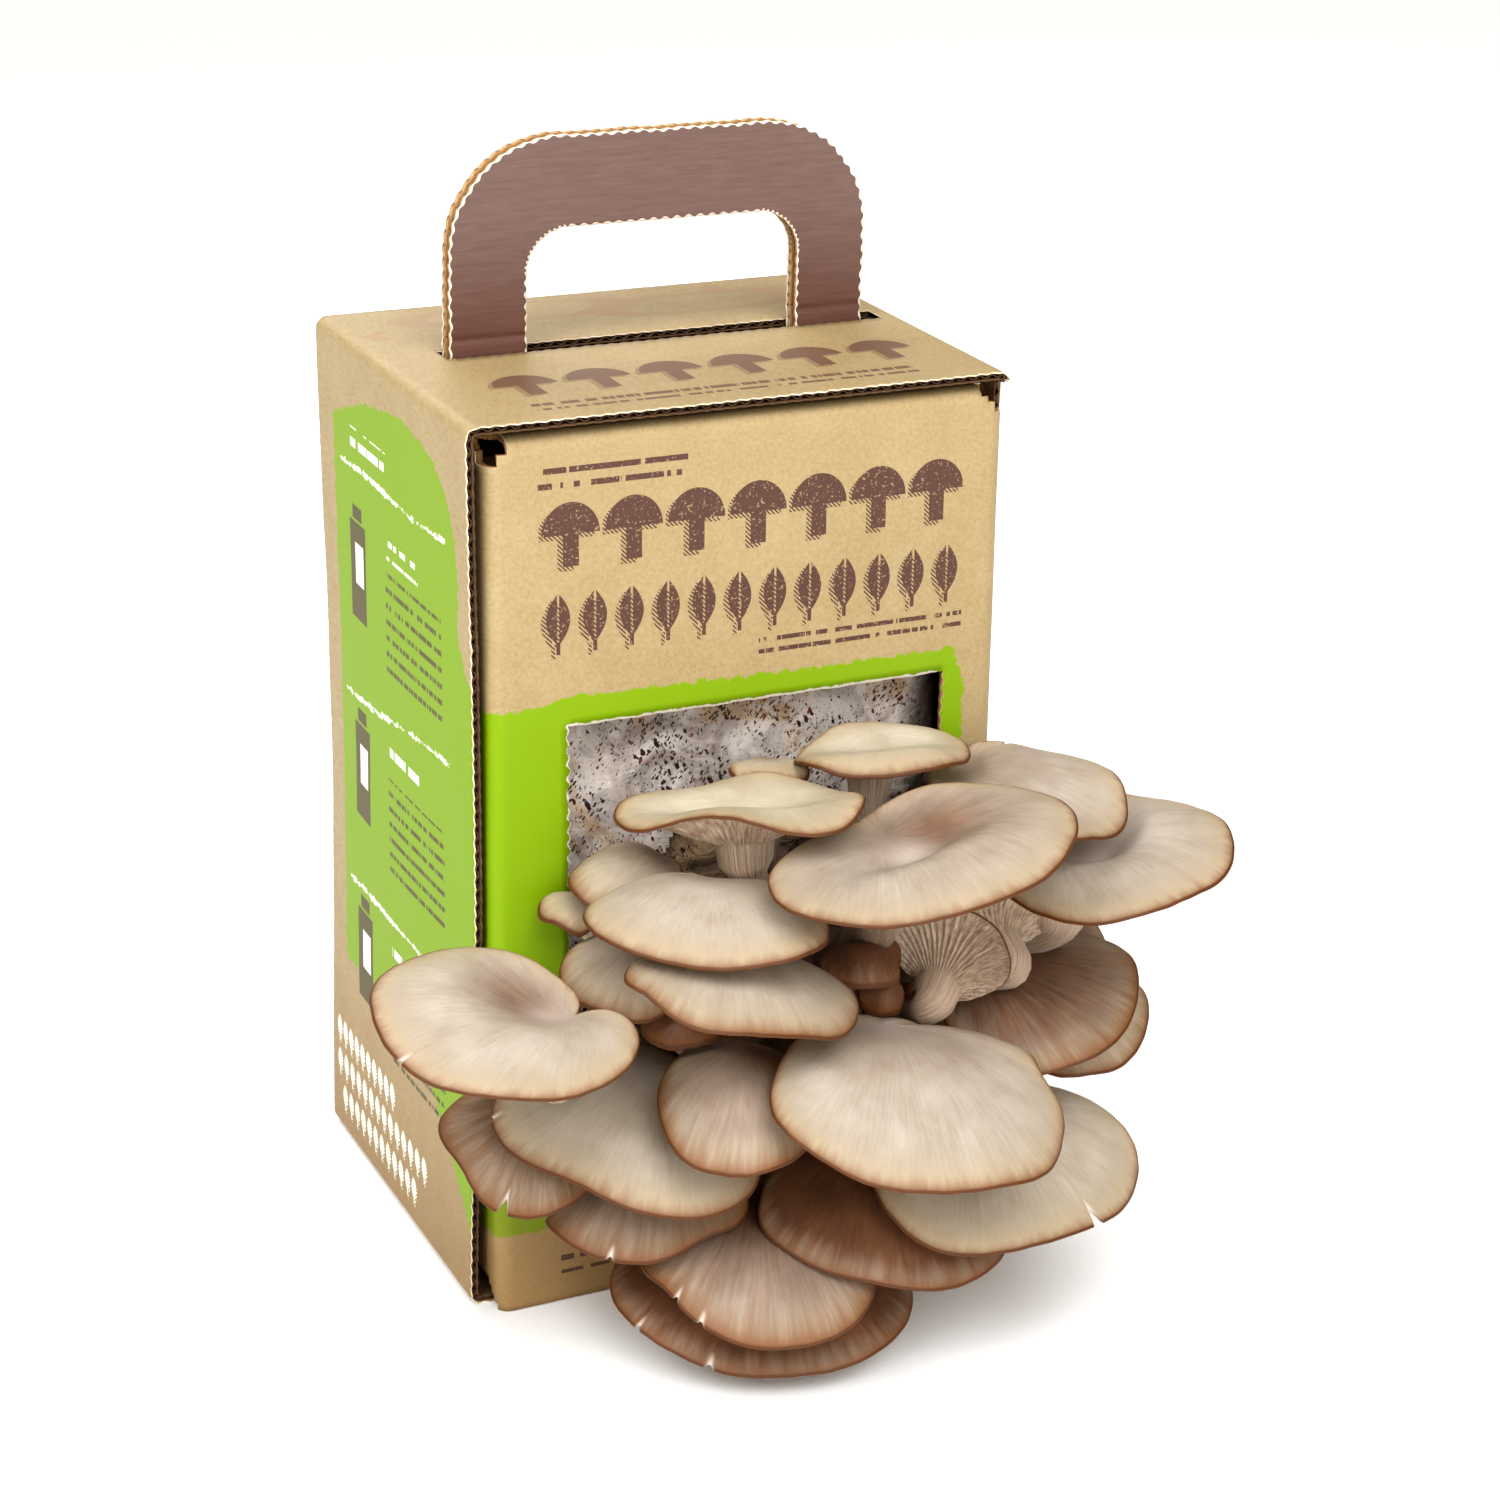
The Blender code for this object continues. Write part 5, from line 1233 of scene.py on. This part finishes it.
# Every mushroom, from the window down and then the buds: its place in mm, its turns in degrees, its sizes in
# mm, the x and z of its root, and whatever differs from the usual cap.
mushrooms = {
    "window_right": dict(
        at=(30, -72, 145), heading=-10, droop=4, roll=0, across=21, along=15, root=(24, 95), inset=0.6,
        dome=5, dip=8, hollow=(5, 0), spread=(6.5, 5, 14, 14), curl=0.8, stem=3.5, foot=3, flesh=5, gills=44,
        olived=0.7, neck_brown_and_shade=0.1, bites=((140, -0.35, 40), (240, -0.1, 25)),
    ),
    "window_tiny": dict(
        at=(4, -62, 139), heading=-20, droop=0, roll=0, across=10, along=7, root=(8, 97), inset=0.6, dome=2,
        dip=1, curl=1, stem=2, foot=2, flesh=3, gills=30, browned=0.1, olived=0.7,
    ),
    "window_wide": dict(
        at=(-14, -84, 142), heading=-26, droop=-7, roll=-4, across=30.5, along=22, root=(15, 95), inset=0.3,
        dome=2, dip=6, hollow=(7, -3), spread=(4.5, 7, 15, 13), wave=2, stem=3.4, foot=3.4, flare=2.2,
        olived=0.85, neck_brown_and_shade=0.0,
        bites=((345, 0.12, 25), (35, -0.08, 22), (92, 0.07, 14), (250, 0.14, 18), (175, 0.2, 30)),
    ),
    "edge_upper": dict(
        at=(-37, -70, 121), heading=-70, droop=5, roll=10, across=12, along=15, root=(-8, 91), dip=2, stem=3,
        foot=3, flesh=5, gills=36, browned=0.15, olived=0.3, neck_brown_and_shade=0.7, edge_brown=0.2,
    ),
    "shelf_upper": dict(
        at=(-29, -98, 121), heading=-30, droop=8, roll=4, across=30, along=20, root=(2, 90), inset=0.85,
        dip=2, neck_brown_and_shade=0.0, bloom_and_highlight=0.5, bites=((228, 0.72, 28), (262, 0.12, 14), (85, 0.06, 25)),
    ),
    "edge_small": dict(
        at=(-49, -65, 111.6), heading=-80, droop=0, roll=10, across=8, along=8, root=(-15, 86), dome=3, dip=1,
        stem=2.2, foot=2.2, flesh=3.5, gills=28, browned=0.1, olived=0.5,
    ),
    "edge_lower": dict(
        at=(-41.5, -81.5, 101.6), heading=-60, droop=10, roll=12, across=15, along=17, root=(-13, 82), dip=2,
        stem=3.5, foot=3, flesh=5, gills=44, browned=0.2, edge_brown=0.2,
    ),
    "shelf_lower": dict(
        at=(-23, -108, 106), heading=0, droop=12, roll=14, across=29, along=20, root=(8, 82), inset=0.85,
        dip=2, stem=4, foot=3.5, browned=0.12, neck_brown_and_shade=0.7, edge_brown=0.2, stain_and_shade=(-6, -10, 15),
        bites=((285, 0.05, 20), (250, -0.16, 24)),
    ),
    "crown": dict(
        at=(17, -114, 136.5), heading=10, droop=7, roll=-11, across=38, along=27, root=(19, 86), inset=0.5,
        dome=5, dip=10, hollow=(10, 1), spread=(6, 13, 15, 13), stem=6, bend=0.25, gills=84, browned=0.15,
        neck_brown_and_shade=0.75, bloom_and_highlight=0.5, stain_and_shade=(3, 12, 14),
        bites=((180, 0.42, 34), (235, -0.1, 18), (295, 0.11, 32), (60, -0.05, 30)),
    ),
    "crown_rear": dict(
        at=(62, -84, 133.5), heading=35, droop=8, roll=-8, across=23, along=27, root=(34, 90), inset=0.6,
        dome=4, dip=4, wave=2, stem=4.5, browned=0.1, bites=((158, 0.6, 42),), nicks=((112, 3, 1.2),),
    ),
    "right_wide": dict(
        at=(80, -97, 120), heading=40, droop=-4, roll=-8, across=30, along=31, root=(41, 84), inset=0.45,
        dome=5, dip=11, hollow=(10, 0), spread=(7, 14, 11, 7), foot=4, gills=76, browned=0.05, neck_brown_and_shade=0.5,
        bloom_and_highlight=0.9, stain_and_shade=(4, 2, 12), bites=((270, -0.1, 40), (85, 0.05, 40)),
    ),
    "gills_up": dict(
        at=(38, -97, 99), heading=15, droop=-68, roll=55, across=15, along=14, root=(30, 78), inset=0.85,
        dome=4, dip=1, stem=3.5, foot=3, flesh=5, bend=0.35, gills=36, browned=0.3, bites=((180, 0.3, 30),),
    ),
    "gills_back": dict(
        at=(58, -92, 104), heading=25, droop=-62, roll=20, across=15, along=13, root=(38, 80), inset=0.85,
        dome=4, dip=1, stem=3.5, foot=3, flesh=5, bend=0.35, gills=34, browned=0.1,
    ),
    "right_small": dict(
        at=(80, -78, 84), heading=45, droop=8, roll=-18, across=14, along=13, root=(46, 77), dome=4, dip=2,
        stem=3, foot=3, flesh=4, gills=44, browned=0.8, olived=0.4,
    ),
    "right_dark": dict(
        at=(65, -94, 81), heading=30, droop=9, roll=-15, across=28, along=24, root=(44, 69), inset=0.85,
        dome=4, foot=4, flesh=7, browned=0.72, olived=0.2, neck_brown_and_shade=0.25, edge_brown=0.45,
        stain_and_shade=(4, 0.0, 24), bites=((140, 0.7, 28),),
    ),
    "right_under": dict(
        at=(83, -80, 66.5), heading=40, droop=12, roll=-14, across=23, along=21, root=(43, 62), stem=4,
        foot=3.5, browned=0.4, olived=0.7, edge_brown=0.2,
    ),
    "front_large": dict(
        at=(14, -128, 79), heading=-5, droop=17, roll=10, across=37, along=31, root=(30, 64), inset=0.85,
        dome=6, dip=2, stem=6, foot=5, gills=84, neck_brown_and_shade=0.3, edge_brown=0.1, bloom_and_highlight=0.7,
        bites=((165, 0.1, 12), (265, -0.06, 40), (126, -0.2, 15), (60, 0.03, 25)),
        creases=((150, 3, 9), (120, -1.5, 14)),
    ),
    "front_cleft": dict(
        at=(48, -111, 47), heading=15, droop=20, roll=3, across=40, along=28, root=(36, 57), dome=6, gills=84,
        olived=0.4, bloom_and_highlight=1.0, bites=((285, -0.05, 30),),
        nicks=((10, 5, 1.6),),
    ),
    "low_dark": dict(
        at=(16.5, -110, 40.5), heading=-10, droop=22, roll=8, across=31, along=26, root=(25, 54), dome=6,
        browned=1.1, edge_brown=0.1, bites=((270, -0.1, 18),),
    ),
    "low_light": dict(
        at=(-18.5, -110, 33), heading=-20, droop=22, roll=6, across=29, along=25, root=(6, 55), dome=6,
        stem=4.5, flesh=7, browned=0.5, neck_brown_and_shade=0.8, edge_brown=0.8, bites=((300, 0.08, 22),),
        nicks=((310, 1.5, 1.0), (328, 1.2, 1.0)),
    ),
    "lowest": dict(
        at=(-11, -98, 18), heading=-16, droop=19, roll=5, across=38, along=28, root=(16, 51), inset=0.7,
        stem=4, foot=3.5, flesh=7, gills=76, browned=1.1, edge_brown=0.15,
        nicks=((300, 1.5, 1.0), (335, 1.5, 1.2)),
    ),
    "front_round": dict(
        at=(-26, -111, 78), heading=-30, droop=17, roll=8, across=19, along=23, root=(5, 67), dome=6, dip=2,
        stem=4.5, foot=4, browned=0.42, neck_brown_and_shade=0.6, edge_brown=0.45, stain_and_shade=(-2, 8, 12),
    ),
    "left_lower": dict(
        at=(-45, -94, 67), heading=-40, droop=16, roll=13, across=32, along=28, root=(-13, 63), inset=0.75,
        dip=2, stem=4.5, foot=4, flesh=7, olived=0.25, neck_brown_and_shade=0.0, edge_brown=0.15, bloom_and_highlight=0.8,
        bites=((345, 0.08, 28), (285, -0.06, 20)), nicks=((290, 1, 1.0),),
    ),
    "left_under": dict(
        at=(-41, -93, 47), heading=-35, droop=20, roll=6, across=25, along=22, root=(-3, 55), stem=4,
        foot=3.5, flesh=7, browned=0.6, olived=0.1, edge_brown=0.7, bites=((48, 0.14, 28),),
        nicks=((300, 1.5, 1.0), (350, 1.2, 1.0)),
    ),
    "left_wide": dict(
        at=(-82, -107.5, 109.5), heading=-88, droop=-6, roll=18, across=25.5, along=32, root=(-20, 80),
        inset=0.5, dome=5, dip=8, hollow=(5, -3), spread=(12, 8, 7, 10), stem=4.5, foot=4, gills=72,
        neck_brown_and_shade=0.9, bloom_and_highlight=0.4, stain_and_shade=(7, -8, 13),
        bites=((190, 0.8, 26), (225, 0.36, 26), (132, -0.12, 28)), nicks=((20, 1.0, 1.0),),
    ),
    "left_split": dict(
        at=(-69, -83, 62), heading=-50, droop=32, roll=18, across=19, along=19, root=(-20, 66), inset=0.6,
        dome=3, dip=2, stem=4, browned=0.7, olived=0.5, edge_brown=0.75,
        bites=((322, 0.12, 25), (268, -0.08, 20)), nicks=((8, 4, 1.4),),
    ),
    "bud_left": dict(
        at=(-32, -91, 90), heading=-30, droop=15, roll=0, across=9.5, along=8, root=(-8, 72), inset=0.5,
        dip=1, stem=3, foot=3, flesh=5, gills=24, browned=1.4,
    ),
    "bud_centre": dict(
        at=(13, -96, 99.5), heading=-15, droop=8, roll=4, across=10, along=9, root=(20, 75), inset=0.6,
        dome=6, dip=1, wave=0.3, stem=3, foot=3, flesh=5, gills=24, browned=1.3,
    ),
    "bud_low": dict(
        at=(19, -96, 91), heading=-5, droop=35, roll=0, across=6, along=6.5, root=(24, 74), inset=0.4,
        dome=4.5, dip=0.5, stem=2.5, foot=2.5, flesh=4, gills=20, browned=1.6,
    ),
    "bud_mauve": dict(
        at=(21, -90, 99), heading=20, droop=20, roll=0, across=6.5, along=6, root=(28, 77), inset=0.5,
        dome=3.5, dip=0.5, stem=2.5, foot=2.5, flesh=4, gills=20, browned=1.4,
    ),
    "pin_left": dict(
        at=(-37, -82, 92), heading=-60, droop=30, roll=0, across=3, along=3.5, root=(-14, 78), inset=0.3,
        dome=2.5, dip=0.3, stem=1.6, foot=1.6, flesh=2.2, gills=16, browned=0.9,
    ),
    "pin_white": dict(
        at=(-27, -88, 89), heading=-30, droop=30, roll=0, across=3.2, along=3.2, root=(-10, 76), inset=0.3,
        dome=2.5, dip=0.3, stem=2.4, foot=2.6, flesh=2.2, gills=16, neck_brown_and_shade=0.0,
    ),
    "pin_dark": dict(
        at=(33, -94, 87), heading=30, droop=30, roll=0, across=6, along=5, root=(36, 74), inset=0.3, dome=3,
        dip=0.3, stem=2.5, foot=2.6, flesh=3, gills=16, browned=1.3,
    ),
}
for number, (short_name, shape) in enumerate(mushrooms.items()):
    grow(short_name, number, **shape)

# The fused bases: a lump of pale flesh, painted dark brown as shade, ridged where stems have grown together,
# and flat behind, where it leaves the film's cut.
near_pole = 0.03
tilt = np.linspace(near_pole, math.pi - near_pole, 70)
tilt, turn = np.meshgrid(tilt, np.arange(140) / 140 * 2 * math.pi, indexing="ij")
sphere = np.stack([np.sin(tilt) * np.cos(turn), np.sin(tilt) * np.sin(turn), np.cos(tilt)], -1)
lump = 1.0 - 0.03 + 0.03 * waviness(40 * sphere[..., 0], 40 * sphere[..., 2], 2.0, 0.5)
rings = BASE_CENTRE + sphere * BASE_RADII * lump[..., None]
rings[..., 1] = np.minimum(rings[..., 1], -46.5)
points, faces, bottom, top = closed_rings(rings)
fields = {name: np.zeros(len(points)) for name in ("brown", "olive", "bloom_highlight", "singe", "torn")}
# Its way places it at the stems' roots, where the skin is painted dark as shade.
fields |= {"way": np.full(len(points), 2.7), "from_rim": np.full(len(points), 20.0), "grain": points * 0.4}
# The rings run from the top down, so their faces are turned to point outwards.
faces, bottom, top = faces[:, ::-1], bottom[:, ::-1], top[:, ::-1]
base = new_mesh("fused_stem_bases", points, faces, bottom, top, materials=[flesh_skin], fields=fields)
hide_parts("cluster_base")
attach(base, "root")
